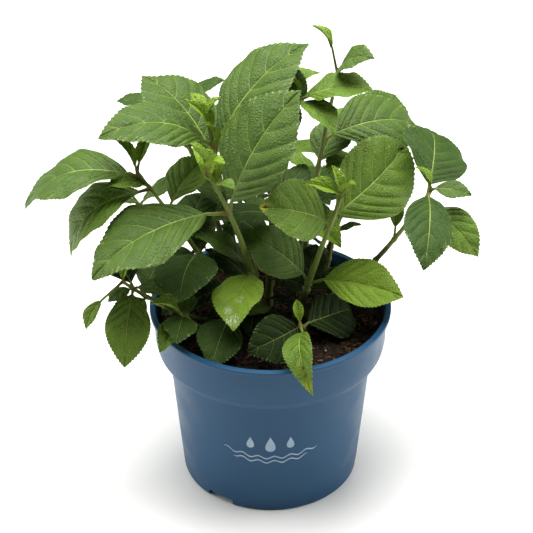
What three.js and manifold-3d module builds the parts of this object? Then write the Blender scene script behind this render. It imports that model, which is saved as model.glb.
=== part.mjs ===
// A potted mophead hydrangea: a nursery pot, its soil, and canes that each carry one leafy shoot.
// Millimetres, +Z up, front towards -Y. The origin is on the floor, under the middle of the pot.
import * as THREE from 'three';
import { mergeVertices } from 'three/addons/utils/BufferGeometryUtils.js';
import Module from 'manifold-3d';

const wasm = await Module();
wasm.setup();

// Clearances
const GAP = 0.3;                 // between neighbouring pieces
const LEAF_GAP = 0.4;            // added to a leaf all round when its place is tested

// Pot
const POT_HEIGHT = 185;
const LIP_RADIUS = 115;
const LIP_DEPTH = 3;
const BAND_RADIUS = 111;         // the upright band under the lip
const BAND_FOOT = 150;           // where the band turns in
const BODY_TOP = 134;            // where the tapered body starts
const BODY_TOP_RADIUS = 98;
const FOOT_RADIUS = 87;
const FOOT_ROUND = 2;
const WALL = 2;
const FLOOR = 3;
const POT_FACETS = 36;
const SHOULDER_STEPS = 3;
const POCKETS = 3;               // drainage pockets round the foot
const POCKET_HEADING = 236;      // degrees, of the first one
const POCKET_WIDTH = 28;
const POCKET_HEIGHT = 7;
const POCKET_REACH = 17;         // inwards from the foot
const DRAIN_RADIUS = 4;

// Soil
const SOIL_TOP = 162;
const SOIL_EDGE_DROP = 3;
const SOIL_FLAT = 88;            // radius of its level middle

// Canes and stems
const CANE_SIDES = 8;
const STEM_SIDES = 5;
const STALK_SIDES = 3;
const LIMB_STEPS = 9;            // along a whole shoot, from soil to tip
const FLARE = 0.4;               // extra girth at the foot
const FLARE_LENGTH = 0.05;       // share of the shoot over which it dies away
const MASS_START = 0.05;         // share below its first leaves where a mass begins

// Leaves
const LEAF_STATIONS = [0, 0.12, 0.36, 0.64, 0.87, 1];
const LEAF_WIDTH = 0.64;         // of its length
const LEAF_ARCH = 0.1;           // height of its arch, of its length
const LEAF_STALK = 0.12;         // of its length
const LEAF_THICK = 1 / 45;       // of its length, along the midrib
const SHOULDER_POWER = 0.6;      // how the outline swells from the stalk
const TIP_POWER = 0.85;          // and how it closes to the tip
const STALK_LIFT = 30;           // degrees a stalk rises above its leaf
const STALK_LIMIT = 80;
const STALK_ROOT = 0.013;        // radius, of the leaf's length
const STALK_BASE = 0.5;          // mm added to it
const STALK_SINK = 0.12;         // of the leaf's length, sunk in the blade
// Changes of rise and heading tried in turn until a leaf is clear of the others
const TRIES = [
  [0, 0], [7, 0], [-7, 0], [0, 9], [0, -9], [14, 0], [-14, 0],
  [7, 14], [-7, -14], [7, -14], [-7, 14], [20, 0], [-20, 0], [0, 25], [0, -25],
];

// Every shoot: where it leaves the soil, its tip, how far it leans (0 rises upright first) and how
// soon it climbs, its radius at foot and tip, and its leaves. A leaf is [share of the shoot, length,
// heading, rise, roll, width, stalk, arch], the last four of them optional. `rule` grows pairs of
// leaves between two shares of the shoot, each pair turned a right angle from the one below.
const SHOOTS = {
  front_left: {
    foot: [-12, 5], tip: [-55, -48, 352], lean: 0.05, climb: 0.4, girth: [4.2, 1.5],
    leaves: [
      [0.35, 72, 258, -12, -10, 0.68], [0.35, 54, 169, 30, 0, 0.64, 0.2],
      [0.75, 117, 206, -17, 5, 0.7, 0.2], [0.75, 119, 20, 57, -20, 0.7, 0.1],
      [1, 30, 190, 62, 0, 0.5], [1, 26, 315, 35, 0, 0.6],
    ],
  },
  front_right: {
    foot: [24, 0], tip: [63, -30, 318], lean: 0.3, climb: 0.35, girth: [4.2, 1.6],
    leaves: [
      [0.39, 77, 352, -9, -35, 0.64, 0.2], [0.39, 70, 168, 33, 25, 0.76, 0.15],
      [0.82, 108, 47, 20, -50, 0.7, 0.1], [0.82, 71, 203, 24, 45, 0.82, 0.1],
      [1, 26, 130, 60, 0, 0.5], [1, 24, 310, 45, 0, 0.5],
    ],
  },
  far_right: {
    foot: [44, 22], tip: [145, -8, 312], lean: 0.55, climb: 0.35, girth: [3.6, 1.5],
    leaves: [
      [0.68, 28, 80, 25, 0, 0.5, 0.4], [0.98, 88, 84, 9, -30, 0.76, 0.1],
      [0.98, 90, 263, -15, 15, 0.48], [0.9, 63, 322, -28, -25, 0.6, 0.15],
      [1, 34, 340, 0, -20, 0.62], [1, 24, 160, 50, 0, 0.5],
    ],
  },
  top_right: {
    foot: [30, 42], tip: [62, 55, 403], lean: 0.05, climb: 0.35, girth: [4, 1.4],
    leaves: [
      [0.76, 99, 28, -1, -25, 0.74, 0.1, 0.14], [0.98, 27, 170, 48, 0, 0.5, 1],
      [0.98, 50, 312, 32, -30, 0.9, 0.1, 0.16],
      [0.66, 52, 60, 30, 0, 0.8], [0.42, 84, 80, 5, 0], [0.42, 56, 298, 3, -20],
    ],
  },
  middle: {
    foot: [-2, 22], tip: [26, 34, 386], lean: 0, climb: 0.3, girth: [4, 1.5],
    leaves: [
      [0.98, 66, 348, 18, -5, 0.72, 0.1], [0.98, 50, 307, -14, 0, 0.6, 0.1],
      [0.55, 58, 60, 25, 0], [0.55, 64, 211, 12, 0], [0.4, 60, 140, 10, 0],
      [1, 22, 200, 60, 0, 0.5],
    ],
  },
  top_left: {
    foot: [-24, 26], tip: [-57, 20, 370], lean: 0.35, climb: 0.4, girth: [4, 1.4],
    leaves: [
      [0.88, 100, 198, 11, 10, 0.66, 0.1, 0.2], [0.85, 116, 27, 41, -5, 0.66, 0.15],
      [0.78, 101, 141, 34, 0, 0.72, 0.15], [0.78, 40, 320, 10, 0, 0.64],
      [1, 28, 128, 25, 0, 0.45], [1, 22, 20, 50, 0, 0.5],
    ],
  },
  far_left: {
    foot: [-38, 14], tip: [-119, -14, 333], lean: 0.15, climb: 0.3, girth: [3.6, 1.4],
    leaves: [
      [0.98, 105, 176, -21, 2, 0.74, 0.1, 0.2], [0.92, 93, 187, -43, 10, 0.66, 0.1, 0.2],
      [0.8, 62, 50, 24, 0, 0.7, 0.15], [0.64, 60, 78, 8, 0], [0.54, 69, 259, -6, -5, 0.84, 0.1],
      [1, 32, 150, 46, 0, 0.42, 0.2], [1, 32, 72, 28, 0, 0.42, 0.25], [0.5, 66, 100, 10, 0],
    ],
  },
  low_left: {
    foot: [-46, -4], tip: [-134, -48, 239], lean: 0.5, climb: 0.3, girth: [3.2, 1.5],
    leaves: [
      [0.9, 68, 264, -43, 10, 0.6, 0.1], [0.9, 60, 122, 12, 0, 0.66, 0.1],
      [1, 30, 224, -49, 10, 0.5, 0.9], [0.66, 56, 20, 20, 0, 0.7], [0.76, 44, 232, -18, 20, 0.7],
      [0.9, 38, 342, 8, 0, 0.7], [0.8, 46, 70, 12, 0, 0.7], [0.9, 24, 214, -14, 10, 0.66, 0.15],
    ],
  },
  right_back: {
    foot: [52, 54], tip: [90, 98, 318], lean: 0.1, climb: 0.35, girth: [3.8, 1.4],
    leaves: [
      [0.88, 81, 58, 20, -40, 0.8, 0.1],
      [0.88, 52, 240, 5, 0], [0.66, 74, 130, -13, 0], [0.66, 60, 330, 5, -20],
    ],
  },
  skirt_left: {
    foot: [-60, -22], tip: [-80, -44, 198], lean: 0.4, climb: 0.5, girth: [2.8, 1.6],
    leaves: [
      [1, 44, 265, 3, 10, 0.68, 0.2], [0.85, 48, 248, -4, 0, 0.56, 0.3],
      [1, 30, 190, 20, 0, 0.64, 0.2], [0.85, 36, 100, 10, 0, 0.64],
    ],
  },
  skirt_front: {
    foot: [-34, -18], tip: [-38, -30, 190], lean: 0.4, climb: 0.5, girth: [2.8, 1.6],
    leaves: [[0.9, 59, 255, -15, 15, 0.7, 0.1], [0.9, 40, 28, -6, 0, 0.7]],
  },
  skirt_right: {
    foot: [36, -26], tip: [27, -54, 196], lean: 0.4, climb: 0.5, girth: [2.8, 1.6],
    leaves: [
      [0.7, 60, 219, -1, 50, 0.74, 0.1], [0.7, 66, 46, -12, -35, 0.7, 0.1],
      [1, 66, 277, -22, -25, 0.52, 0.25, 0.3], [1, 22, 100, 40, 0, 0.5],
    ],
  },
  back_left: {
    foot: [-32, 52], tip: [-92, 98, 340], lean: 0.3, climb: 0.45, girth: [4, 1.4],
    leaves: [[0.98, 53, 182, 12, 0, 0.7, 0.1], [0.98, 56, 354, 43, 0, 0.7, 0.1]],
    rule: { seed: 11, from: 0.5, to: 0.8, pairs: 2, heading: 60, length: 84 },
  },
  back_middle: {
    foot: [0, 62], tip: [4, 122, 330], lean: 0.3, climb: 0.45, girth: [4, 1.4],
    leaves: [[1, 52, 10, 35, 0, 0.8, 0.1], [0.92, 72, 215, 20, 0, 0.64, 0.1]],
    rule: { seed: 23, from: 0.5, to: 0.74, pairs: 2, heading: 70, length: 84 },
  },
  back_right: {
    foot: [50, 70], tip: [100, 132, 300], lean: 0.3, climb: 0.45, girth: [3.8, 1.4],
    rule: { seed: 35, from: 0.66, to: 0.98, pairs: 2, heading: 75, length: 84 },
  },
  back_low_left: {
    foot: [-58, 36], tip: [-136, 76, 262], lean: 0.4, climb: 0.4, girth: [3.4, 1.4],
    rule: { seed: 47, from: 0.56, to: 0.9, pairs: 2, heading: 105, length: 84 },
  },
  back_low_middle: {
    foot: [-14, 76], tip: [-40, 146, 262], lean: 0.4, climb: 0.4, girth: [3.4, 1.4],
    rule: { seed: 59, from: 0.68, to: 0.98, pairs: 2, heading: 60, length: 84 },
  },
  back_low_right: {
    foot: [24, 78], tip: [52, 152, 242], lean: 0.25, climb: 0.5, girth: [3.4, 1.4],
    rule: { seed: 61, from: 0.62, to: 0.98, pairs: 2, heading: 90, length: 80 },
  },
};
const STUB = { foot: [8, -14], radius: 4.6, height: 11, cut: 2 };

// How a ruled shoot's leaves change from its lowest pair to its tip
const RULE_SHRINK = 0.4;
const RULE_RISE = [-12, 18];
const RULE_JITTER = { heading: 14, rise: 8, length: 0.1 };

const COLOURS = {
  pot: 0x41648a, soil: 0x2f2622, cane: 0x6d6a3c, foliage: 0x5d8538, stub: 0x7a6a4c,
};

const radians = THREE.MathUtils.degToRad;
const up = new THREE.Vector3(0, 0, 1);

// --- Solids and booleans ---

function toSolid(geometry) {
  const bare = geometry.clone();
  bare.deleteAttribute('normal');
  bare.deleteAttribute('uv');
  const merged = mergeVertices(bare, 1e-4);
  const mesh = new wasm.Mesh({
    numProp: 3,
    vertProperties: new Float32Array(merged.attributes.position.array),
    triVerts: new Uint32Array(merged.index.array),
  });
  mesh.merge();
  return new wasm.Manifold(mesh);
}

function fromSolid(solid) {
  const mesh = solid.getMesh();
  const geometry = new THREE.BufferGeometry();
  geometry.setAttribute('position', new THREE.BufferAttribute(mesh.vertProperties, 3));
  geometry.setIndex(new THREE.BufferAttribute(mesh.triVerts, 1));
  geometry.computeVertexNormals();
  return geometry;
}

function lathe(points, facets) {
  const profile = points.map(([radius, height]) => new THREE.Vector2(radius, height));
  const geometry = new THREE.LatheGeometry(profile, facets);
  geometry.rotateX(Math.PI / 2);
  return geometry;
}

function meshOf(points, faces) {
  const geometry = new THREE.BufferGeometry();
  geometry.setAttribute('position', new THREE.Float32BufferAttribute(points.flatMap((p) => p.toArray()), 3));
  geometry.setIndex(faces.flat());
  return geometry;
}

// A closed limb through rings [{ centre, normal, radius }]
function limb(rings, sides) {
  const points = [];
  const faces = [];
  rings.forEach(({ centre, normal, radius }) => {
    const first = new THREE.Vector3(1, 0, 0).cross(normal).normalize();
    const second = new THREE.Vector3().crossVectors(normal, first);
    for (let k = 0; k < sides; k += 1) {
      const angle = (2 * Math.PI * k) / sides;
      points.push(centre.clone()
        .addScaledVector(first, radius * Math.cos(angle))
        .addScaledVector(second, radius * Math.sin(angle)));
    }
  });
  const last = (rings.length - 1) * sides;
  for (let k = 0; k < sides; k += 1) {
    const next = (k + 1) % sides;
    for (let ring = 0; ring < last; ring += sides) {
      faces.push([ring + k, ring + next, ring + sides + next]);
      faces.push([ring + k, ring + sides + next, ring + sides + k]);
    }
    if (k > 0 && k < sides - 1) {
      faces.push([0, k + 1, k]);
      faces.push([last, last + k, last + k + 1]);
    }
  }
  return meshOf(points, faces);
}

// --- Pot and soil ---

// Half-section of the pot's outside, or of its inside when `inset` is the wall
function potSection(inset) {
  const section = [];
  for (let step = 0; step <= SHOULDER_STEPS; step += 1) {
    const turn = (Math.PI / 2) * (step / SHOULDER_STEPS);
    section.push([
      BODY_TOP_RADIUS + (BAND_RADIUS - 1 - BODY_TOP_RADIUS) * Math.sin(turn) - inset,
      BODY_TOP + (BAND_FOOT - BODY_TOP) * (1 - Math.cos(turn)),
    ]);
  }
  return section;
}

function pocketBox(width, height, reach) {
  const box = new THREE.BoxGeometry(2 * reach, width, 2 * height);
  return box.translate(FOOT_RADIUS, 0, 0);
}

function roundThe(geometry, each) {
  const heading = radians(POCKET_HEADING + (360 / POCKETS) * each);
  return toSolid(geometry.clone().rotateZ(heading));
}

function makePot() {
  const outside = toSolid(lathe([
    [0, 0], [FOOT_RADIUS - FOOT_ROUND, 0], [FOOT_RADIUS, FOOT_ROUND], ...potSection(0),
    [BAND_RADIUS, POT_HEIGHT - 2 * LIP_DEPTH], [LIP_RADIUS, POT_HEIGHT - LIP_DEPTH],
    [LIP_RADIUS, POT_HEIGHT], [0, POT_HEIGHT],
  ], POT_FACETS));
  const inside = toSolid(lathe([
    [0, FLOOR], [FOOT_RADIUS - WALL, FLOOR], ...potSection(WALL),
    [BAND_RADIUS - WALL, POT_HEIGHT], [BAND_RADIUS - WALL, POT_HEIGHT + 1], [0, POT_HEIGHT + 1],
  ], POT_FACETS));
  const boss = pocketBox(POCKET_WIDTH + 2 * WALL, POCKET_HEIGHT + WALL, POCKET_REACH + WALL);
  const pocket = pocketBox(POCKET_WIDTH, POCKET_HEIGHT, POCKET_REACH);
  const drain = new THREE.CylinderGeometry(DRAIN_RADIUS, DRAIN_RADIUS, 4 * POCKET_HEIGHT, 8);
  drain.rotateX(Math.PI / 2).translate(FOOT_RADIUS - POCKET_REACH / 2, 0, 0);
  let pot = outside.subtract(inside);
  for (let each = 0; each < POCKETS; each += 1) {
    pot = pot.add(roundThe(boss, each).intersect(outside));
    pot = pot.subtract(roundThe(pocket, each)).subtract(roundThe(drain, each));
  }
  return pot;
}

function makeSoil() {
  const clear = WALL + GAP;
  let soil = toSolid(lathe([
    [0, FLOOR + GAP], [FOOT_RADIUS - clear, FLOOR + GAP], ...potSection(clear),
    [BAND_RADIUS - 1 - clear, SOIL_TOP - SOIL_EDGE_DROP], [SOIL_FLAT, SOIL_TOP], [0, SOIL_TOP],
  ], POT_FACETS));
  const boss = pocketBox(
    POCKET_WIDTH + 2 * clear, POCKET_HEIGHT + clear, POCKET_REACH + clear);
  for (let each = 0; each < POCKETS; each += 1) {
    soil = soil.subtract(roundThe(boss, each));
  }
  return soil;
}

// --- Shoots ---

function shootCurve({ foot, tip, lean, climb }) {
  const start = new THREE.Vector3(foot[0], foot[1], SOIL_TOP + GAP);
  const end = new THREE.Vector3(...tip);
  const bend = new THREE.Vector3(
    THREE.MathUtils.lerp(start.x, end.x, lean),
    THREE.MathUtils.lerp(start.y, end.y, lean),
    THREE.MathUtils.lerp(start.z, end.z, climb),
  );
  return new THREE.QuadraticBezierCurve3(start, bend, end);
}

function shootRadius({ girth }, share) {
  const taper = THREE.MathUtils.lerp(girth[0], girth[1], share);
  return taper * (1 + FLARE * Math.exp(-share / FLARE_LENGTH));
}

function shootLimb(shoot, from, to, sides) {
  const curve = shootCurve(shoot);
  const steps = Math.max(2, Math.round((to - from) * LIMB_STEPS));
  const rings = [];
  for (let step = 0; step <= steps; step += 1) {
    const share = from + (to - from) * (step / steps);
    rings.push({
      centre: curve.getPoint(share),
      normal: share === 0 ? up.clone() : curve.getTangent(share),
      radius: shootRadius(shoot, share),
    });
  }
  return limb(rings, sides);
}

// Pairs of leaves up a shoot, each turned a right angle from the one below, smaller to the tip
function ruledLeaves({ seed, from, to, pairs, heading, length }) {
  let state = seed;
  const random = () => {
    state = (state * 1664525 + 1013904223) % 4294967296;
    return (2 * state) / 4294967296 - 1;
  };
  const leaves = [];
  for (let pair = 0; pair < pairs; pair += 1) {
    const height = pair / (pairs - 1);
    for (let side = 0; side < 2; side += 1) {
      leaves.push([
        from + (to - from) * height,
        length * (1 - RULE_SHRINK * height * height) * (1 + RULE_JITTER.length * random()),
        heading + 90 * pair + 180 * side + RULE_JITTER.heading * random(),
        THREE.MathUtils.lerp(...RULE_RISE, height) + RULE_JITTER.rise * random(),
        0,
      ]);
    }
  }
  return leaves;
}

// --- Leaves ---

function placeLeaf(shoot, leaf, [moreRise, moreHeading]) {
  const [share, length, heading, rise, roll = 0, width = LEAF_WIDTH, stalk = LEAF_STALK,
    arch = LEAF_ARCH] = leaf;
  const turn = radians(heading + moreHeading);
  const lift = radians(rise + moreRise);
  const along = new THREE.Vector3(
    Math.cos(turn) * Math.cos(lift), Math.sin(turn) * Math.cos(lift), Math.sin(lift));
  const face = new THREE.Vector3(
    -Math.cos(turn) * Math.sin(lift), -Math.sin(turn) * Math.sin(lift), Math.cos(lift));
  face.applyAxisAngle(along, -radians(roll));
  const side = new THREE.Vector3().crossVectors(face, along);
  const stalkLift = Math.min(rise + moreRise + STALK_LIFT, STALK_LIMIT);
  const stalkDirection = new THREE.Vector3(
    Math.cos(turn) * Math.cos(radians(stalkLift)),
    Math.sin(turn) * Math.cos(radians(stalkLift)),
    Math.sin(radians(stalkLift)));
  const node = shootCurve(shoot).getPoint(Math.min(share, 1));
  const base = node.clone().addScaledVector(stalkDirection, stalk * length);
  return { node, base, along, face, side, length, width, arch };
}

function midribAt({ base, along, face, length, arch }, share) {
  return base.clone()
    .addScaledVector(along, length * share)
    .addScaledVector(face, 4 * arch * length * share * (1 - share));
}

function halfWidthAt({ length, width }, share) {
  const outline = (s) => s ** SHOULDER_POWER * (1 - s) ** TIP_POWER;
  const widest = SHOULDER_POWER / (SHOULDER_POWER + TIP_POWER);
  return (0.5 * length * width * outline(share)) / outline(widest);
}

// A thin closed blade: a midrib above and below, and one sharp edge on each side
function bladeSolid(leaf, grow) {
  const thick = 0.5 * leaf.length * LEAF_THICK + grow;
  const points = [];
  LEAF_STATIONS.forEach((share, index) => {
    const middle = midribAt(leaf, share);
    if (index === 0 || index === LEAF_STATIONS.length - 1) {
      points.push(middle.addScaledVector(leaf.along, (index === 0 ? -1 : 1) * grow));
      return;
    }
    const half = halfWidthAt(leaf, share) + 2 * grow;
    points.push(
      middle.clone().addScaledVector(leaf.side, -half),
      middle.clone().addScaledVector(leaf.face, thick),
      middle.clone().addScaledVector(leaf.side, half),
      middle.clone().addScaledVector(leaf.face, -thick),
    );
  });
  const faces = [];
  const tip = points.length - 1;
  for (let k = 0; k < 4; k += 1) {
    const next = (k + 1) % 4;
    faces.push([0, 1 + k, 1 + next]);
    for (let ring = 1; ring + 4 < tip; ring += 4) {
      faces.push([ring + k, ring + 4 + k, ring + 4 + next]);
      faces.push([ring + k, ring + 4 + next, ring + next]);
    }
    faces.push([tip - 4 + k, tip, tip - 4 + next]);
  }
  return toSolid(meshOf(points, faces));
}

function stalkSolid(leaf, grow) {
  const radius = STALK_BASE + STALK_ROOT * leaf.length + grow;
  const sunk = midribAt(leaf, STALK_SINK);
  const out = leaf.base.clone().sub(leaf.node).normalize();
  const on = sunk.clone().sub(leaf.base).normalize();
  return toSolid(limb([
    { centre: leaf.node, normal: out, radius },
    { centre: leaf.base, normal: out.clone().add(on).normalize(), radius: 0.9 * radius },
    { centre: sunk, normal: on, radius: 0.7 * radius },
  ], STALK_SIDES));
}

// --- Placing every leaf where it is clear ---

const pot = makePot();
const soil = makeSoil();
const stems = {};
Object.entries(SHOOTS).forEach(([name, shoot]) => {
  stems[name] = toSolid(shootLimb(shoot, 0, 1, STEM_SIDES));
});

const touches = (a, b) => a.intersect(b).volume() > 1e-6;

const placed = [];

function isClear(name, blade, stalk) {
  if (touches(blade, pot) || touches(blade, soil)) {
    return false;
  }
  const hitsStem = Object.entries(stems).some(([other, stem]) => (
    touches(blade, stem) || (other !== name && touches(stalk, stem))));
  if (hitsStem) {
    return false;
  }
  return !placed.some((other) => (
    touches(blade, other.blade) || touches(blade, other.stalk) || touches(stalk, other.blade)
    || (other.name !== name && touches(stalk, other.stalk))));
}

function growLeaf(name, shoot, spec) {
  for (const change of TRIES) {
    const leaf = placeLeaf(shoot, spec, change);
    const blade = bladeSolid(leaf, LEAF_GAP);
    const stalk = stalkSolid(leaf, LEAF_GAP);
    if (isClear(name, blade, stalk)) {
      placed.push({ name, leaf, blade, stalk, change, spec });
      return;
    }
  }
}

const chosen = Object.entries(SHOOTS).filter(([, shoot]) => shoot.leaves);
const ruled = Object.entries(SHOOTS).filter(([, shoot]) => shoot.rule);
chosen.forEach(([name, shoot]) => shoot.leaves.forEach((spec) => growLeaf(name, shoot, spec)));
ruled.forEach(([name, shoot]) => ruledLeaves(shoot.rule).forEach((spec) => growLeaf(name, shoot, spec)));

function massStart(shoot) {
  const shares = (shoot.leaves ?? []).map(([share]) => share);
  return Math.min(...shares, shoot.rule?.from ?? 1) - MASS_START;
}

// --- The model ---

const model = new THREE.Group();
model.name = 'hydrangea';

function addPiece(name, geometry, colour, roughness) {
  const material = new THREE.MeshStandardMaterial({ color: colour, roughness, metalness: 0 });
  const piece = new THREE.Mesh(geometry, material);
  piece.name = name;
  model.add(piece);
}

addPiece('pot', fromSolid(pot), COLOURS.pot, 0.45);
addPiece('potting_soil', fromSolid(soil), COLOURS.soil, 0.95);

const stubFoot = new THREE.Vector3(...STUB.foot, SOIL_TOP + GAP);
addPiece('pruned_stub', limb([
  { centre: stubFoot, normal: up.clone(), radius: STUB.radius * (1 + FLARE) },
  { centre: stubFoot.clone().setZ(stubFoot.z + STUB.cut), normal: up.clone(), radius: STUB.radius },
  {
    centre: stubFoot.clone().setZ(stubFoot.z + STUB.height),
    normal: new THREE.Vector3(0.3, -0.2, 1).normalize(),
    radius: 0.9 * STUB.radius,
  },
], CANE_SIDES), COLOURS.stub, 0.9);

Object.entries(SHOOTS).forEach(([name, shoot]) => {
  const start = massStart(shoot);
  const gapShare = GAP / shootCurve(shoot).getLength();
  addPiece(`cane_${name}`, shootLimb(shoot, 0, start, CANE_SIDES), COLOURS.cane, 0.8);
  let mass = toSolid(shootLimb(shoot, start + 1.3 * gapShare, 1, STEM_SIDES));
  placed.filter((leaf) => leaf.name === name).forEach(({ leaf }) => {
    mass = mass.add(bladeSolid(leaf, 0)).add(stalkSolid(leaf, 0));
  });
  addPiece(`foliage_${name}`, fromSolid(mass), COLOURS.foliage, 0.6);
});

export default model;
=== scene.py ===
"""A leafy young hydrangea in its blue nursery pot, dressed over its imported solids.

Metres, +Z up, front towards -Y. The plant's own sizes are written in millimetres, as a
grower would measure them, and MM turns them to metres.
"""

import math
import random
from collections import namedtuple

import bmesh
import bpy
import numpy as np
from mathutils import Matrix, Vector
from mathutils.kdtree import KDTree


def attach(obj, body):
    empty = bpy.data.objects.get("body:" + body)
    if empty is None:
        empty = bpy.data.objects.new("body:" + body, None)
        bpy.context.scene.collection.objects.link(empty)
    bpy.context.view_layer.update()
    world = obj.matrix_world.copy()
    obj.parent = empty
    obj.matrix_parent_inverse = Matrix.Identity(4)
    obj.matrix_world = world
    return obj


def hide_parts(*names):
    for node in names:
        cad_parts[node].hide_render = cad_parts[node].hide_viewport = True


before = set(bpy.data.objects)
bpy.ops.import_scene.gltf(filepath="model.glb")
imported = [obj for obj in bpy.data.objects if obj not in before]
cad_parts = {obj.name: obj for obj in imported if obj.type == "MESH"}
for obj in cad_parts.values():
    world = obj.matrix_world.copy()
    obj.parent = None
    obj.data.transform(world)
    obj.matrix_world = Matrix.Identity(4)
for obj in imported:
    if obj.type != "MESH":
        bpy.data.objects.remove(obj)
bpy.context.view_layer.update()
MM = 0.001


# ----------------------------------------
# Nursery pot: one injection-moulded shell of thin blue polypropylene. It has a rolled lip,
# an upright band, a rounded shoulder and a tapered wall, and drainage pockets pressed in
# round its foot, each with a drain hole.
# ----------------------------------------
POT_HEIGHT = 185 * MM
LIP_RADIUS = 115 * MM
LIP_DEPTH = 3 * MM
LIP_ROUND = 1.1 * MM
LIP_FILLET = 1.5 * MM  # under the lip
UNDER_LIP = POT_HEIGHT - 2.2 * LIP_DEPTH
BAND_RADIUS = 111 * MM
BAND_FOOT = 150 * MM
BODY_TOP = 134 * MM
BODY_TOP_RADIUS = 98 * MM
FOOT_RADIUS = 87 * MM
FOOT_ROUND = 2 * MM
WALL = 2 * MM
FLOOR = 3 * MM
POT_FACETS = 144
ROUND_STEPS = 8
POCKETS = 3
POCKET_HEADING = 236  # degrees, of the first one
POCKET_WIDTH = 28 * MM
POCKET_HEIGHT = 7 * MM
POCKET_REACH = 17 * MM
DRAIN_RADIUS = 4 * MM
CREASE = math.radians(34)  # faces that meet at more than this keep a crisp edge


def link(name, mesh):
    """A new object at the origin, with its place in its mesh."""
    piece = bpy.data.objects.new(name, mesh)
    bpy.context.scene.collection.objects.link(piece)
    return piece


def worked(name, bm):
    """A new object from a bmesh that is done."""
    mesh = bpy.data.meshes.new(name)
    bm.to_mesh(mesh)
    bm.free()
    return link(name, mesh)


def shade(mesh):
    """Smooth shading with crisp edges where faces meet sharply."""
    bm = bmesh.new()
    bm.from_mesh(mesh)
    for face in bm.faces:
        face.smooth = True
    for edge in bm.edges:
        edge.smooth = not (edge.is_manifold and edge.calc_face_angle() > CREASE)
    bm.to_mesh(mesh)
    bm.free()


def ring(bm, radius, height, count):
    """Corners set evenly round the axis."""
    turns = [2 * math.pi * k / count for k in range(count)]
    return [bm.verts.new((radius * math.cos(a), radius * math.sin(a), height)) for a in turns]


def lathe(name, section):
    """A closed solid turned from half-section points (radius, height) that end on the axis."""
    bm = bmesh.new()
    ends = [bm.verts.new((0, 0, height)) for _, height in (section[0], section[-1])]
    rings = [ring(bm, radius, height, POT_FACETS) for radius, height in section[1:-1]]
    for k in range(POT_FACETS):
        after = (k + 1) % POT_FACETS
        bm.faces.new((ends[0], rings[0][after], rings[0][k]))
        bm.faces.new((ends[1], rings[-1][k], rings[-1][after]))
        for low, high in zip(rings, rings[1:]):
            bm.faces.new((low[k], low[after], high[after], high[k]))
    return worked(name, bm)


def corner(radius, height, size, start, end):
    """Points round a corner whose centre is at (radius, height), between two angles."""
    turns = [math.radians(start + (end - start) * k / ROUND_STEPS) for k in range(ROUND_STEPS + 1)]
    return [(radius + size * math.cos(a), height + size * math.sin(a)) for a in turns]


def shoulder(inset):
    """The rounded step from the tapered wall out to the upright band."""
    turns = [math.pi / 2 * k / ROUND_STEPS for k in range(ROUND_STEPS + 1)]
    reach = BAND_RADIUS - MM - BODY_TOP_RADIUS
    return [(BODY_TOP_RADIUS + reach * math.sin(a) - inset,
             BODY_TOP + (BAND_FOOT - BODY_TOP) * (1 - math.cos(a))) for a in turns]


def at_foot(name, bm, reach, heading):
    """A cutting tool, moved out to the foot of the pot and round to a heading."""
    bmesh.ops.translate(bm, vec=(reach, 0, 0), verts=bm.verts)
    bmesh.ops.rotate(bm, matrix=Matrix.Rotation(math.radians(heading), 3, "Z"), verts=bm.verts)
    return worked(name, bm)


def box(name, heading, more):
    """A block as big as a pocket, and more all round."""
    bm = bmesh.new()
    bmesh.ops.create_cube(bm, size=1)
    size = (2 * (POCKET_REACH + more), POCKET_WIDTH + 2 * more, 2 * (POCKET_HEIGHT + more))
    bmesh.ops.scale(bm, vec=size, verts=bm.verts)
    return at_foot(name, bm, FOOT_RADIUS, heading)


def drain(name, heading):
    """A round rod where a drain hole goes up through a pocket."""
    bm = bmesh.new()
    bmesh.ops.create_cone(bm, cap_ends=True, segments=24, radius1=DRAIN_RADIUS,
                          radius2=DRAIN_RADIUS, depth=8 * POCKET_HEIGHT)
    return at_foot(name, bm, FOOT_RADIUS - POCKET_REACH / 2, heading)


def settled(piece):
    """The piece's mesh with its modifiers worked in and taken off."""
    evaluated = piece.evaluated_get(bpy.context.evaluated_depsgraph_get())
    mesh = bpy.data.meshes.new_from_object(evaluated)
    piece.modifiers.clear()
    piece.data = mesh
    return piece


def cut(piece, tool):
    """Takes a solid tool out of the piece and throws the tool away."""
    modifier = piece.modifiers.new("cut", "BOOLEAN")
    modifier.operation = "DIFFERENCE"
    modifier.solver = "EXACT"
    modifier.object = tool
    settled(piece)
    bpy.data.objects.remove(tool)


pot = lathe("pot_shell", [
    (0, 0), *corner(FOOT_RADIUS - FOOT_ROUND, FOOT_ROUND, FOOT_ROUND, -90, 0), *shoulder(0),
    (BAND_RADIUS - 0.2 * MM, BAND_FOOT + 3 * MM), (BAND_RADIUS, UNDER_LIP),
    *corner(BAND_RADIUS + LIP_FILLET, UNDER_LIP, LIP_FILLET, 180, 100),
    *corner(LIP_RADIUS - LIP_ROUND, POT_HEIGHT - LIP_DEPTH, LIP_ROUND, -70, 0),
    *corner(LIP_RADIUS - LIP_ROUND, POT_HEIGHT - LIP_ROUND, LIP_ROUND, 0, 90), (0, POT_HEIGHT)])
hollow = lathe("pot_hollow", [
    (0, FLOOR), (FOOT_RADIUS - WALL, FLOOR), *shoulder(WALL),
    (BAND_RADIUS - WALL, POT_HEIGHT - 4 * LIP_ROUND),
    *corner(BAND_RADIUS - WALL + LIP_ROUND, POT_HEIGHT - LIP_ROUND, LIP_ROUND, 180, 90),
    (BAND_RADIUS - WALL + LIP_ROUND, POT_HEIGHT + LIP_DEPTH), (0, POT_HEIGHT + LIP_DEPTH)])
pocket_headings = [POCKET_HEADING + each * 360 / POCKETS for each in range(POCKETS)]
for heading in pocket_headings:
    cut(hollow, box("boss", heading, WALL))
cut(pot, hollow)
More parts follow.
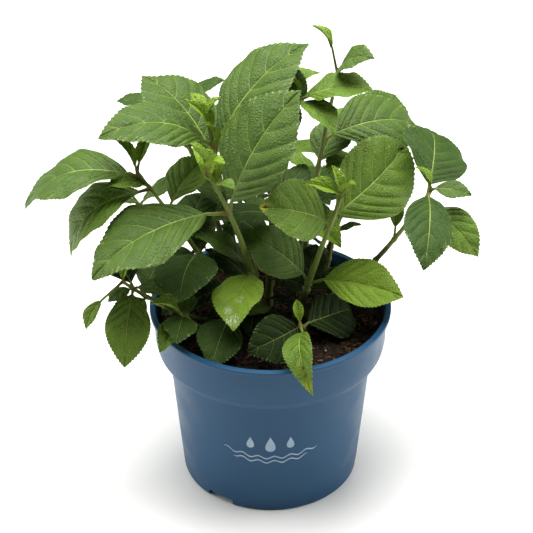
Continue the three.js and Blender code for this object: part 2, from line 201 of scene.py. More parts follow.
for heading in pocket_headings:
    cut(pot, box("pocket", heading, 0))
    cut(pot, drain("drain", heading))
shade(pot.data)


def add(kind, inputs, output=0, tree=None, **settings):
    """An output of a new node, in the tree of the sockets that it takes or in the given one.
    Each input, by name or number, is a plain value or such a socket."""
    tree = tree or next(value.id_data for value in inputs.values() if isinstance(value, bpy.types.NodeSocket))
    node = tree.nodes.new(kind)
    for key, value in settings.items():
        setattr(node, key, value)
    for key, value in inputs.items():
        if isinstance(value, bpy.types.NodeSocket):
            tree.links.new(value, node.inputs[key])
        else:
            node.inputs[key].default_value = value
    return node.outputs if output is None else node.outputs[output]


def join(outputs, ends):
    """Links outputs to the end sockets that stand under the same names."""
    for label, socket in outputs.items():
        ends[label].id_data.links.new(socket, ends[label])


def group(kind, name, inputs, outputs):
    """A node group and its two ends. An input is given by its sort or, if a number, its default."""
    tree = bpy.data.node_groups.new(name, kind)
    for label, given in inputs.items():
        sort = given if isinstance(given, str) else type(given).__name__.capitalize()
        socket = tree.interface.new_socket(label, in_out="INPUT", socket_type=f"NodeSocket{sort}")
        if sort != given:
            socket.default_value = given
    for label, sort in outputs.items():
        tree.interface.new_socket(label, in_out="OUTPUT", socket_type=f"NodeSocket{sort}")
    return tree, tree.nodes.new("NodeGroupInput").outputs, tree.nodes.new("NodeGroupOutput").inputs


def blend(factor, one, other):
    """The colour between one and other."""
    return add("ShaderNodeMix", {0: factor, 6: one, 7: other}, 2, data_type="RGBA")


def spread(value, low, high, to_low=0.0, to_high=1.0):
    """A value moved from one range to another, smoothly and held at its ends."""
    inputs = {"Value": value, "From Min": low, "From Max": high, "To Min": to_low, "To Max": to_high}
    return add("ShaderNodeMapRange", inputs, interpolation_type="SMOOTHSTEP")


def maths(operation, one, other):
    return add("ShaderNodeMath", {0: one, 1: other}, operation=operation)


def times(one, other):
    return maths("MULTIPLY", one, other)


def vectors(operation, inputs, output=0):
    return add("ShaderNodeVectorMath", inputs, output, operation=operation)


def noise(place, scale, detail=2.0, output=0, **more):
    """Cloudy noise between 0 and 1, or with output 1 a noise for each axis."""
    return add("ShaderNodeTexNoise", {"Vector": place, "Scale": scale, "Detail": detail, **more}, output)


def tint(red, green, blue):
    """A colour as a screen shows it, turned to the linear one that a shader takes."""
    shown = [value / 255 for value in (red, green, blue)]
    return (*[(c / 12.92 if c < 0.0404 else ((c + 0.055) / 1.055) ** 2.4) for c in shown], 1.0)


def surface(name, roughness, **sockets):
    """A new material, its node tree and its shader's inputs, with their plain values set."""
    material = bpy.data.materials.new(name)
    material.use_nodes = True
    shader = material.node_tree.nodes["Principled BSDF"].inputs
    shader["Roughness"].default_value = roughness
    for label, value in sockets.items():
        shader[label.replace("_", " ")].default_value = value
    return material, material.node_tree, shader


# Fine grain: the small unevenness that moulded plastic, bark and soil all have.
grain_tree, given, ends = group(
    "ShaderNodeTree", "Fine grain",
    {"Place": "Vector", "Size": 200.0, "Depth": 0.1, "Patch Size": 20.0},
    {"Grain": "Float", "Patches": "Float", "Normal": "Vector"})
fine = noise(given["Place"], given["Size"], 3.0, Roughness=0.6)
wide = noise(given["Place"], given["Patch Size"], 4.0)
relief = add("ShaderNodeBump", {"Strength": given["Depth"], "Distance": 0.4 * MM, "Height": fine})
join({"Grain": fine, "Patches": spread(wide, 0.35, 0.65), "Normal": relief}, ends)


def object_place(tree):
    return add("ShaderNodeTexCoord", {}, "Object", tree)


def grain(tree, **values):
    """The outputs of the fine grain, placed on the piece's own coordinates."""
    inputs = {"Place": object_place(tree), **{key.replace("_", " "): value for key, value in values.items()}}
    return add("ShaderNodeGroup", inputs, None, node_tree=grain_tree)


def moulded_plastic(name, blue, worn):
    """Satin polypropylene: faint clouding, a paler bloom in patches, and inside, just above the mix, a dark
    brown band that is soil dust and painted shade.
    """
    material, tree, shader = surface(name, 0.42, IOR=1.49, Specular_IOR_Level=0.25)
    skin = grain(tree, Size=900.0, Depth=0.12, Patch_Size=26.0)
    across, deep, height = add("ShaderNodeSeparateXYZ", {0: object_place(tree)}, None)
    off_axis = vectors("LENGTH", {0: add("ShaderNodeCombineXYZ", {0: across, 1: deep})}, "Value")
    inside = spread(off_axis, 109.7 * MM, 108.9 * MM)
    dust_and_shade_band = times(spread(height, 153 * MM, 156 * MM), spread(height, 182 * MM, 165 * MM))
    speckle = maths("ADD", spread(skin["Grain"], 0.3, 0.62), 0.35)
    colour = blend(times(skin["Patches"], 0.35), tint(*blue), tint(*worn))
    # Inside the wall above the mix the colour goes to a speckled dark brown: soil dust, and painted shade
    # inside the pot.
    colour = blend(times(times(inside, dust_and_shade_band), speckle), colour, tint(40, 32, 28))
    rough = spread(skin["Patches"], 0.0, 1.0, 0.36, 0.48)
    join({"Base Color": colour, "Roughness": rough, "Normal": skin["Normal"]}, shader)
    return material


pot.data.materials.append(moulded_plastic("blue polypropylene", (27, 70, 103), (38, 80, 110)))
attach(pot, "root")
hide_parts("pot")


# ----------------------------------------
# Print on the pot: one pale ink, pad-printed on the front of the wall. Three water drops
# stand over a row of ripples, a plain sign that the plant likes water.
# ----------------------------------------
PRINT_HEADING = 270
PRINT_HEIGHT = 78 * MM  # of the ripples' middle
PRINT_LIFT = 0.15 * MM
RIPPLE_REACH = 46 * MM  # to each side
RIPPLE_LENGTH = 15.3 * MM
RIPPLE_RISE = 1.6 * MM
RIPPLE_SAG = 7 * MM  # how far the rows curve down at the middle
RIPPLE_LINE = 1.5 * MM
RIPPLE_ROWS = 2
RIPPLE_GAP = 3.4  # from row to row, of their rise
RIPPLE_SHORTER = 0.22  # each row than the one above
RIPPLE_STEPS = 72
DROPS = [(-19 * MM, 5.2 * MM), (0, 7 * MM), (19 * MM, 5.2 * MM)]
DROP_CENTRE = 17 * MM  # above the ripples
DROP_STEPS = 32
DROP_POINT = 1.6  # how sharply a drop narrows to its top
DROP_HEIGHT = 1.35  # of its width


def on_wall(across, height):
    """The place on the front of the pot's wall of a point that far across and up."""
    share = height / BODY_TOP
    radius = FOOT_RADIUS + (BODY_TOP_RADIUS - FOOT_RADIUS) * share + PRINT_LIFT
    turn = math.radians(PRINT_HEADING) + across / radius
    return (radius * math.cos(turn), radius * math.sin(turn), height)


def sag(across):
    return RIPPLE_SAG * math.cos(math.pi / 2 * across / RIPPLE_REACH)


def ripple(bm, row):
    """One wavy line, laid as a strip of short faces."""
    middle = PRINT_HEIGHT - row * RIPPLE_GAP * RIPPLE_RISE
    reach = RIPPLE_REACH * (1 - RIPPLE_SHORTER * row)
    edges = []
    for step in range(RIPPLE_STEPS + 1):
        across = reach * (2 * step / RIPPLE_STEPS - 1)
        wave = RIPPLE_RISE * math.sin(2 * math.pi * across / RIPPLE_LENGTH)
        height = middle + wave - sag(across)
        half = 0.5 * RIPPLE_LINE * min(1, 0.25 + 6 * (1 - abs(across) / reach))
        edges.append([bm.verts.new(on_wall(across, height + side * half)) for side in (-1, 1)])
    for one, other in zip(edges, edges[1:]):
        bm.faces.new((one[0], other[0], other[1], one[1]))


def water_drop(bm, across, size):
    """A drop with a round foot and a pointed top, as a fan of faces."""
    middle = PRINT_HEIGHT + DROP_CENTRE - sag(across)
    centre = bm.verts.new(on_wall(across, middle))
    rim = []
    for step in range(DROP_STEPS):
        turn = 2 * math.pi * step / DROP_STEPS
        out = size * math.sin(turn) * math.sin(turn / 2) ** DROP_POINT
        rim.append(bm.verts.new(on_wall(across + out, middle + DROP_HEIGHT * size * math.cos(turn))))
    for one, other in zip(rim, rim[1:] + rim[:1]):
        bm.faces.new((centre, other, one))


marks = bmesh.new()
for row in range(RIPPLE_ROWS):
    ripple(marks, row)
for across, size in DROPS:
    water_drop(marks, across, size)
pot_print = worked("pot_print", marks)
ink, ink_tree, ink_shader = surface("pale ink", 0.5)
ink_skin = grain(ink_tree, Size=700.0, Depth=0.1, Patch_Size=60.0)
ink_colour = blend(ink_skin["Patches"], tint(150, 172, 190), tint(132, 158, 180))
join({"Base Color": ink_colour, "Normal": ink_skin["Normal"]}, ink_shader)
pot_print.data.materials.append(ink)
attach(pot_print, "root")


# ----------------------------------------
# Potting mix: dark moist peat and composted bark that fills the pot to a finger's width
# under its rim. Crumbs of peat cover it, with orange-brown bark chips and a few pale grains.
# ----------------------------------------
SOIL_TOP = 162 * MM
SOIL_FLAT = 88 * MM  # radius of its level middle
SOIL_EDGE = 107.5 * MM
SOIL_EDGE_DROP = 3 * MM
SOIL_RINGS = 54
SOIL_SPOKES = 150
CRUST = 0.4 * MM  # how far the crumbly layer's skirt reaches down into the mix


def settle(piece, tree, **values):
    """Runs a geometry tree on the piece with these inputs, and keeps the plain mesh it gives."""
    modifier = piece.modifiers.new(tree.name, "NODES")
    modifier.node_group = tree
    for item in tree.interface.items_tree:
        label = item.name.replace(" ", "_")
        if item.item_type == "SOCKET" and item.in_out == "INPUT" and label in values:
            modifier[item.identifier] = values[label]
    return settled(piece)


def soil_disc(name):
    """The level top of the mix with its dropped edge, as rings of small faces."""
    bm = bmesh.new()
    centre = bm.verts.new((0, 0, SOIL_TOP))
    rings = []
    for step in range(1, SOIL_RINGS + 1):
        radius = SOIL_EDGE * step / SOIL_RINGS
        drop = SOIL_EDGE_DROP * max(0.0, (radius - SOIL_FLAT) / (SOIL_EDGE - SOIL_FLAT))
        rings.append(ring(bm, radius, SOIL_TOP - drop, SOIL_SPOKES))
    for k in range(SOIL_SPOKES):
        after = (k + 1) % SOIL_SPOKES
        bm.faces.new((centre, rings[0][k], rings[0][after]))
        for near, far in zip(rings, rings[1:]):
            bm.faces.new((near[k], far[k], far[after], near[after]))
    return worked(name, bm)


def noise_at(place, scale, detail=2.0, seed=0.0):
    """Noise for a geometry tree, told apart from others by its seed."""
    inputs = {"Vector": place, "W": seed, "Scale": scale, "Detail": detail}
    return add("ShaderNodeTexNoise", inputs, noise_dimensions="4D")


def moved(geometry, offset):
    return add("GeometryNodeSetPosition", {"Geometry": geometry, "Offset": offset})


def close(geometry, finish, ends, smooth=True):
    """Ends a geometry tree with plain faces in one finish."""
    if smooth:
        geometry = add("GeometryNodeSetShadeSmooth", {"Geometry": geometry})
    real = add("GeometryNodeRealizeInstances", {"Geometry": geometry})
    join({"Geometry": add("GeometryNodeSetMaterial", {"Geometry": real, "Material": finish})}, ends)


crumb_tree, given, ends = group(
    "GeometryNodeTree", "Crumbly soil",
    {"Geometry": "Geometry", "Relief": 0.005, "Clod Size": 90.0, "Seed": 1.0, "Finish": "Material"},
    {"Geometry": "Geometry"})
place = add("GeometryNodeInputPosition", {}, tree=crumb_tree)
clods = noise_at(place, given["Clod Size"], 5.0, given["Seed"])
heave = times(spread(clods, 0.3, 0.75), given["Relief"])
heaved = moved(given["Geometry"], add("ShaderNodeCombineXYZ", {2: maths("ADD", heave, CRUST)}))
close(heaved, given["Finish"], ends)

chip_tree, given, ends = group(
    "GeometryNodeTree", "Scattered chips",
    {"Geometry": "Geometry", "Per Square Metre": 20000.0, "Reach": 0.1, "Length": 0.008,
     "Width": 0.4, "Thickness": 0.2, "Roundness": 0.3, "Seed": 1, "Finish": "Material"},
    {"Geometry": "Geometry"})
place = add("GeometryNodeInputPosition", {}, tree=chip_tree)
off_axis = vectors("LENGTH", {0: vectors("MULTIPLY", {0: place, 1: (1.0, 1.0, 0.0)})}, "Value")
spots = add("GeometryNodeDistributePointsOnFaces",
            {"Mesh": given["Geometry"], "Density": given["Per Square Metre"], "Seed": given["Seed"],
             "Selection": maths("LESS_THAN", off_axis, given["Reach"])})
lump = add("GeometryNodeMeshIcoSphere", {"Radius": 0.5, "Subdivisions": 2}, tree=chip_tree)
ragged = times(maths("SUBTRACT", noise_at(place, 2.6), 0.5), given["Roundness"])
worn_lump = moved(lump, vectors("SCALE", {0: place, "Scale": ragged}))
shape = add("ShaderNodeCombineXYZ", {0: 1.0, 1: given["Width"], 2: given["Thickness"]})
turn = add("FunctionNodeRandomValue",
           {0: (-0.5, -0.5, 0.0), 1: (0.5, 0.5, 6.283), "Seed": given["Seed"]}, data_type="FLOAT_VECTOR")
share = add("FunctionNodeRandomValue", {2: 0.35, 3: 1.0, "Seed": given["Seed"]}, 1)
set_down = add("GeometryNodeInstanceOnPoints",
               {"Points": spots, "Rotation": turn, "Scale": times(share, given["Length"]),
                "Instance": add("GeometryNodeTransform", {"Geometry": worn_lump, "Scale": shape})})
close(set_down, given["Finish"], ends, smooth=False)


def earthy(name, dark, light, size, depth, roughness=0.95):
    """Matt broken-up stuff: peat, bark or grit, mottled between a dark and a light tone."""
    material, tree, shader = surface(name, roughness, Specular_IOR_Level=0.2)
    skin = grain(tree, Size=size, Depth=depth, Patch_Size=size / 6)
    mottle = blend(spread(skin["Grain"], 0.32, 0.68), tint(*dark), tint(*light))
    colour = blend(times(skin["Patches"], 0.5), mottle, tint(*dark))
    join({"Base Color": colour, "Normal": skin["Normal"]}, shader)
    return material


peat = earthy("moist peat", (15, 11, 8), (46, 34, 22), 420.0, 0.9)
bark_chip = earthy("bark chip", (66, 40, 22), (136, 90, 52), 500.0, 0.6, 0.85)
dark_chip = earthy("dark bark", (26, 19, 13), (66, 48, 32), 500.0, 0.6, 0.85)
grit = earthy("pale grit", (150, 140, 122), (196, 188, 170), 900.0, 0.4, 0.9)

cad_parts["potting_soil"].data.materials.clear()
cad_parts["potting_soil"].data.materials.append(peat)

top = settle(soil_disc("soil_crumbs"), crumb_tree, Relief=5.5 * MM, Clod_Size=95.0, Seed=3.0, Finish=peat)
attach(top, "root")
# Chips to a square metre, length, width and thickness of it, roundness, seed and finish
SCATTER = {
    "soil_peat_lumps": (26000.0, 5.5 * MM, 0.8, 0.6, 0.9, 5, peat),
    "soil_dark_chips": (12000.0, 13 * MM, 0.32, 0.16, 0.5, 11, dark_chip),
    "soil_bark_chips": (6500.0, 12 * MM, 0.28, 0.14, 0.5, 23, bark_chip),
    "soil_pale_grit": (700.0, 3.4 * MM, 0.8, 0.7, 0.6, 31, grit),
}
for name, (density, length, width, thickness, roundness, seed, finish) in SCATTER.items():
    chips = settle(link(name, top.data.copy()), chip_tree, Per_Square_Metre=density, Length=length,
                   Width=width, Thickness=thickness, Roundness=roundness, Seed=seed, Finish=finish,
                   Reach=SOIL_EDGE - 0.5 * length - CRUST)
    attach(chips, "root")


# ----------------------------------------
# Canes: one-year hydrangea shoots that rise from the crown of the plant at soil level.
# Each is a smooth olive-green rod that tapers, thickens in a ring where a pair of leaves
# stands or has fallen, and carries fine ridges and small reddish pores.
# ----------------------------------------
# Every shoot: where it leaves the soil, its tip, how far it leans (0 rises upright first) and how
# soon it climbs, its radius at foot and tip, its leaves and its rule. A leaf is (share of the shoot,
# length, heading, rise, roll, width, stalk, arch), the last four of them optional. A rule grows pairs
# of leaves between two shares of the shoot, each pair turned a right angle from the one below.
Shoot = namedtuple("Shoot", "foot tip lean climb girth leaves rule", defaults=[None])
Rule = namedtuple("Rule", "seed start end pairs heading length")
SHOOTS = {
    "front_left": Shoot(
        (-12, 5), (-55, -48, 352), 0.05, 0.4, (4.2, 1.5),
        [(0.35, 72, 258, -12, -10, 0.68), (0.35, 54, 169, 30, 0, 0.64, 0.2),
         (0.75, 117, 206, -17, 5, 0.7, 0.2), (0.75, 119, 20, 57, -20, 0.7, 0.1),
         (1, 30, 190, 62, 0, 0.5), (1, 26, 315, 35, 0, 0.6)]),
    "front_right": Shoot(
        (24, 0), (63, -30, 318), 0.3, 0.35, (4.2, 1.6),
        [(0.39, 77, 352, -9, -35, 0.64, 0.2), (0.39, 70, 168, 33, 25, 0.76, 0.15),
         (0.82, 108, 47, 20, -50, 0.7, 0.1), (0.82, 71, 203, 24, 45, 0.82, 0.1),
         (1, 26, 130, 60, 0, 0.5), (1, 24, 310, 45, 0, 0.5)]),
    "far_right": Shoot(
        (44, 22), (145, -8, 312), 0.55, 0.35, (3.6, 1.5),
        [(0.68, 28, 80, 25, 0, 0.5, 0.4), (0.98, 88, 84, 9, -30, 0.76, 0.1),
         (0.98, 90, 263, -15, 15, 0.48), (0.9, 63, 322, -28, -25, 0.6, 0.15),
         (1, 34, 340, 0, -20, 0.62), (1, 24, 160, 50, 0, 0.5)]),
    "top_right": Shoot(
        (30, 42), (62, 55, 403), 0.05, 0.35, (4, 1.4),
        [(0.76, 99, 28, -1, -25, 0.74, 0.1, 0.14), (0.98, 27, 170, 48, 0, 0.5, 1),
         (0.98, 50, 312, 32, -30, 0.9, 0.1, 0.16),
         (0.66, 52, 60, 30, 0, 0.8), (0.42, 84, 80, 5, 0), (0.42, 56, 298, 3, -20)]),
    "middle": Shoot(
        (-2, 22), (26, 34, 386), 0, 0.3, (4, 1.5),
        [(0.98, 66, 348, 18, -5, 0.72, 0.1), (0.98, 50, 307, -14, 0, 0.6, 0.1),
         (0.55, 58, 60, 25, 0), (0.55, 64, 211, 12, 0), (0.4, 60, 140, 10, 0),
         (1, 22, 200, 60, 0, 0.5)]),
    "top_left": Shoot(
        (-24, 26), (-57, 20, 370), 0.35, 0.4, (4, 1.4),
        [(0.88, 100, 198, 11, 10, 0.66, 0.1, 0.2), (0.85, 116, 27, 41, -5, 0.66, 0.15),
         (0.78, 101, 141, 34, 0, 0.72, 0.15), (0.78, 40, 320, 10, 0, 0.64),
         (1, 28, 128, 25, 0, 0.45), (1, 22, 20, 50, 0, 0.5)]),
    "far_left": Shoot(
        (-38, 14), (-119, -14, 333), 0.15, 0.3, (3.6, 1.4),
        [(0.98, 105, 176, -21, 2, 0.74, 0.1, 0.2), (0.92, 93, 187, -43, 10, 0.66, 0.1, 0.2),
         (0.8, 62, 50, 24, 0, 0.7, 0.15), (0.64, 60, 78, 8, 0), (0.54, 69, 259, -6, -5, 0.84, 0.1),
         (1, 32, 150, 46, 0, 0.42, 0.2), (1, 32, 72, 28, 0, 0.42, 0.25), (0.5, 66, 100, 10, 0)]),
    "low_left": Shoot(
        (-46, -4), (-134, -48, 239), 0.5, 0.3, (3.2, 1.5),
        [(0.9, 68, 264, -43, 10, 0.6, 0.1), (0.9, 60, 122, 12, 0, 0.66, 0.1),
         (1, 30, 224, -49, 10, 0.5, 0.9), (0.66, 56, 20, 20, 0, 0.7), (0.76, 44, 232, -18, 20, 0.7),
         (0.9, 38, 342, 8, 0, 0.7), (0.8, 46, 70, 12, 0, 0.7), (0.9, 24, 214, -14, 10, 0.66, 0.15)]),
    "right_back": Shoot(
        (52, 54), (90, 98, 318), 0.1, 0.35, (3.8, 1.4),
        [(0.88, 81, 58, 20, -40, 0.8, 0.1),
         (0.88, 52, 240, 5, 0), (0.66, 74, 130, -13, 0), (0.66, 60, 330, 5, -20)]),
    "skirt_left": Shoot(
        (-60, -22), (-80, -44, 198), 0.4, 0.5, (2.8, 1.6),
        [(1, 44, 265, 3, 10, 0.68, 0.2), (0.85, 48, 248, -4, 0, 0.56, 0.3),
         (1, 30, 190, 20, 0, 0.64, 0.2), (0.85, 36, 100, 10, 0, 0.64)]),
    "skirt_front": Shoot(
        (-34, -18), (-38, -30, 190), 0.4, 0.5, (2.8, 1.6),
        [(0.9, 59, 255, -15, 15, 0.7, 0.1), (0.9, 40, 28, -6, 0, 0.7)]),
    "skirt_right": Shoot(
        (36, -26), (27, -54, 196), 0.4, 0.5, (2.8, 1.6),
        [(0.7, 60, 219, -1, 50, 0.74, 0.1), (0.7, 66, 46, -12, -35, 0.7, 0.1),
         (1, 66, 277, -22, -25, 0.52, 0.25, 0.3), (1, 22, 100, 40, 0, 0.5)]),
    "back_left": Shoot(
        (-32, 52), (-92, 98, 340), 0.3, 0.45, (4, 1.4),
        [(0.98, 53, 182, 12, 0, 0.7, 0.1), (0.98, 56, 354, 43, 0, 0.7, 0.1)],
        Rule(11, 0.5, 0.8, 2, 60, 84)),
    "back_middle": Shoot(
        (0, 62), (4, 122, 330), 0.3, 0.45, (4, 1.4),
        [(1, 52, 10, 35, 0, 0.8, 0.1), (0.92, 72, 215, 20, 0, 0.64, 0.1)],
        Rule(23, 0.5, 0.74, 2, 70, 84)),
    "back_right": Shoot(
        (50, 70), (100, 132, 300), 0.3, 0.45, (3.8, 1.4),
        [], Rule(35, 0.66, 0.98, 2, 75, 84)),
    "back_low_left": Shoot(
        (-58, 36), (-136, 76, 262), 0.4, 0.4, (3.4, 1.4),
        [], Rule(47, 0.56, 0.9, 2, 105, 84)),
    "back_low_middle": Shoot(
        (-14, 76), (-40, 146, 262), 0.4, 0.4, (3.4, 1.4),
        [], Rule(59, 0.68, 0.98, 2, 60, 84)),
    "back_low_right": Shoot(
        (24, 78), (52, 152, 242), 0.25, 0.5, (3.4, 1.4),
        [], Rule(61, 0.62, 0.98, 2, 90, 80)),
}
GAP = 0.3
SOIL_LEVEL = SOIL_TOP / MM + GAP
CANE_SIDES = 18
CANE_STEP = 1.6  # between the rings of a cane's mesh
FLARE = 0.4
FLARE_LENGTH = 0.05
MASS_START = 0.05  # share below its first leaves where a leafy stem begins
NODE_SWELL = 0.34  # how much a cane thickens at a leaf joint
NODE_WIDTH = 1.7  # and over what length
SCAR_SPACING = 34  # between the old leaf joints of a bare cane


def shoot_point(shoot, share):
    """The place of a share of the shoot along its curve."""
    start = np.array([*shoot.foot, SOIL_LEVEL])
    end = np.array(shoot.tip, float)
    bend = start + (end - start) * np.array([shoot.lean, shoot.lean, shoot.climb])
    return (1 - share) ** 2 * start + 2 * share * (1 - share) * bend + share ** 2 * end


def shoot_girth(shoot, share):
    thick, thin = shoot.girth
    return (thick + (thin - thick) * share) * (1 + FLARE * math.exp(-share / FLARE_LENGTH))


def mass_start(shoot):
    """The share of the shoot where its cane ends and its leafy stem begins."""
    shares = [leaf[0] for leaf in shoot.leaves] + [shoot.rule.start if shoot.rule else 1]
    return min(shares) - MASS_START


def shoot_length(shoot):
    steps = [shoot_point(shoot, k / 40) for k in range(41)]
    return sum(float(np.linalg.norm(b - a)) for a, b in zip(steps, steps[1:]))


def swelling(length, share, joints):
    """How much thicker the shoot is near its joints."""
    steps_off = [(share - joint) * length / NODE_WIDTH for joint in joints]
    return 1 + NODE_SWELL * sum(math.exp(-off ** 2) for off in steps_off)


def shoot_rods(shoot, start, end, joints):
    """The line of points, with their girth, along part of a shoot."""
    length = shoot_length(shoot)
    steps = max(6, round((end - start) * length / CANE_STEP))
    shares = [start + (end - start) * k / steps for k in range(steps + 1)]
    return [(shoot_point(shoot, share), shoot_girth(shoot, share) * swelling(length, share, joints), 0.0)
            for share in shares]


def laid(name, places, edges, faces):
    """A new object from lists of corners, edges and faces."""
    mesh = bpy.data.meshes.new(name)
    mesh.from_pydata(places, edges, faces)
    return link(name, mesh)


def rod_lines(name, lines):
    """A mesh of bare lines from lists of (place, girth, flush) in millimetres."""
    points, edges = [], []
    for line in lines:
        edges += [(k, k + 1) for k in range(len(points), len(points) + len(line) - 1)]
        points += line
    piece = laid(name, [tuple(place * MM) for place, _, _ in points], edges, [])
    for label, values in (("girth", [girth * MM for _, girth, _ in points]),
                          ("flush", [flush for _, _, flush in points])):
        piece.data.attributes.new(label, "FLOAT", "POINT").data.foreach_set("value", values)
    return piece


rod_tree, given, ends = group(
    "GeometryNodeTree", "Green wood",
    {"Geometry": "Geometry", "Sides": 12, "Relief": 0.0003, "Ridges": 700.0, "Drawn Out": 0.08,
     "Finish": "Material"},
    {"Geometry": "Geometry"})
drawn = add("GeometryNodeMeshToCurve", {"Mesh": given["Geometry"]})
girth = add("GeometryNodeInputNamedAttribute", {"Name": "girth"}, tree=rod_tree, data_type="FLOAT")
hoop = add("GeometryNodeCurvePrimitiveCircle", {"Resolution": given["Sides"], "Radius": 1.0})
rod = add("GeometryNodeCurveToMesh",
          {"Curve": drawn, "Profile Curve": hoop, "Scale": girth, "Fill Caps": True})
place = add("GeometryNodeInputPosition", {}, tree=rod_tree)
normal = add("GeometryNodeInputNormal", {}, tree=rod_tree)
squash = add("ShaderNodeCombineXYZ", {0: 1.0, 1: 1.0, 2: given["Drawn Out"]})
ridges = noise_at(vectors("MULTIPLY", {0: place, 1: squash}), given["Ridges"], 2.0, 4.0)
rise = times(maths("SUBTRACT", ridges, 0.5), given["Relief"])
close(moved(rod, vectors("SCALE", {0: normal, "Scale": rise})), given["Finish"], ends)


def green_wood(name, green, brown, flush, roughness):
    """Living shoot: green streaked with brown, small reddish pores, reddish where it flushes."""
    material, tree, shader = surface(name, roughness, Specular_IOR_Level=0.25)
    skin = grain(tree, Size=900.0, Depth=0.35, Patch_Size=45.0)
    place = object_place(tree)
    long = add("ShaderNodeMapping", {"Vector": place, "Scale": (1.0, 1.0, 0.12)})
    streak = spread(noise(long, 520.0, 3.0), 0.42, 0.66)
    pores = spread(add("ShaderNodeTexVoronoi", {"Vector": place, "Scale": 420.0}, "Distance"), 0.24, 0.14)
    red = add("ShaderNodeAttribute", {}, "Fac", tree, attribute_name="flush")
    colour = blend(times(streak, 0.6), tint(*green), tint(*brown))
    for factor in (times(pores, 0.55), red):
        colour = blend(factor, colour, tint(*flush))
    join({"Base Color": colour, "Normal": skin["Normal"]}, shader)
    return material


cane_lines = []
for shoot in SHOOTS.values():
    start = mass_start(shoot)
    length = shoot_length(shoot)
    count = int(start * length / SCAR_SPACING)
    joints = [start - (k + 0.6) * SCAR_SPACING / length for k in range(count)]
    cane_lines.append(shoot_rods(shoot, 0.0, start, joints))
olive_cane = green_wood("olive cane", (80, 92, 40), (86, 74, 42), (92, 54, 36), 0.6)
canes = settle(rod_lines("canes", cane_lines), rod_tree, Sides=CANE_SIDES, Relief=0.9 * MM,
               Ridges=620.0, Drawn_Out=0.06, Finish=olive_cane)
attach(canes, "root")
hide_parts(*[f"cane_{name}" for name in SHOOTS])


# ----------------------------------------
# Pruned stub: what is left of last year's flowering cane, cut off slantwise a finger's
# width above the soil. Its bark is dry and grey-brown, and the cut shows paler pith.
# ----------------------------------------
STUB_FOOT = (8, -14)
STUB_RADIUS = 4.6
STUB_HEIGHT = 11
STUB_SLOPE = (0.3, -0.2)  # how the cut face leans
CUT_LEVEL = (SOIL_LEVEL + STUB_HEIGHT - 1.5) * MM

stub_line = [(np.array([*STUB_FOOT, SOIL_LEVEL + k * STUB_HEIGHT / 9]),
              STUB_RADIUS * (1 + FLARE * math.exp(-k / 1.5)) * (1 - 0.012 * k), 0.0) for k in range(10)]
dry_bark = earthy("dry bark", (86, 70, 50), (140, 122, 92), 700.0, 0.8, 0.85)
stub = settle(rod_lines("stub", [stub_line]), rod_tree, Sides=26, Relief=1.3 * MM, Ridges=700.0,
              Drawn_Out=0.1, Finish=dry_bark)
stub.data.materials.append(earthy("cut pith", (168, 148, 108), (206, 190, 150), 900.0, 0.3, 0.8))
for vertex in stub.data.vertices:
    if vertex.co.z > CUT_LEVEL:
        across = vertex.co - Vector((*STUB_FOOT, 0)) * MM
        vertex.co.z -= STUB_SLOPE[0] * across.x + STUB_SLOPE[1] * across.y
for face in stub.data.polygons:
    if face.center.z > CUT_LEVEL and face.normal.z > 0.7:
        face.material_index = 1
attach(stub, "root")
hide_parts("pruned_stub")


# ----------------------------------------
# Leafy stems and leaf stalks: the soft upper part of each shoot, olive green, with a thick
# stalk to every leaf. A stalk clasps the stem with a reddish foot and runs on under its leaf
# as the midrib.
# ----------------------------------------
# Changes of rise and heading of which each leaf took the first that was clear
TRIES = (
    (0, 0), (7, 0), (-7, 0), (0, 9), (0, -9), (14, 0), (-14, 0),
    (7, 14), (-7, -14), (7, -14), (-7, 14), (20, 0), (-20, 0), (0, 25), (0, -25),
)
LEAF_WIDTH = 0.64  # these as the leaf's solid was built
LEAF_STALK = 0.12
LEAF_ARCH = 0.1
STALK_LIFT = 30
STALK_LIMIT = 80
RULE_SHRINK = 0.4
RULE_RISE = (-12, 18)
RULE_JITTER = {"heading": 14, "rise": 8, "length": 0.1}
MATCH = 0.5 * MM  # how near a leaf's tip must be to a corner of the solid
STEM_SIDES = 14
STALK_STEPS = 9
STALK_FOOT = 1.0  # radius of a stalk where it leaves the stem, in mm
STALK_ROOT = 0.0075  # added to it, of the leaf's length
CLASP = 0.45  # how much thicker a stalk is at its foot
CLASP_LENGTH = 3.2
TIP_BLUSH = 0.35  # how red the shoot's tip flushes
STALK_BLUSH = 0.9  # and the foot of a stalk
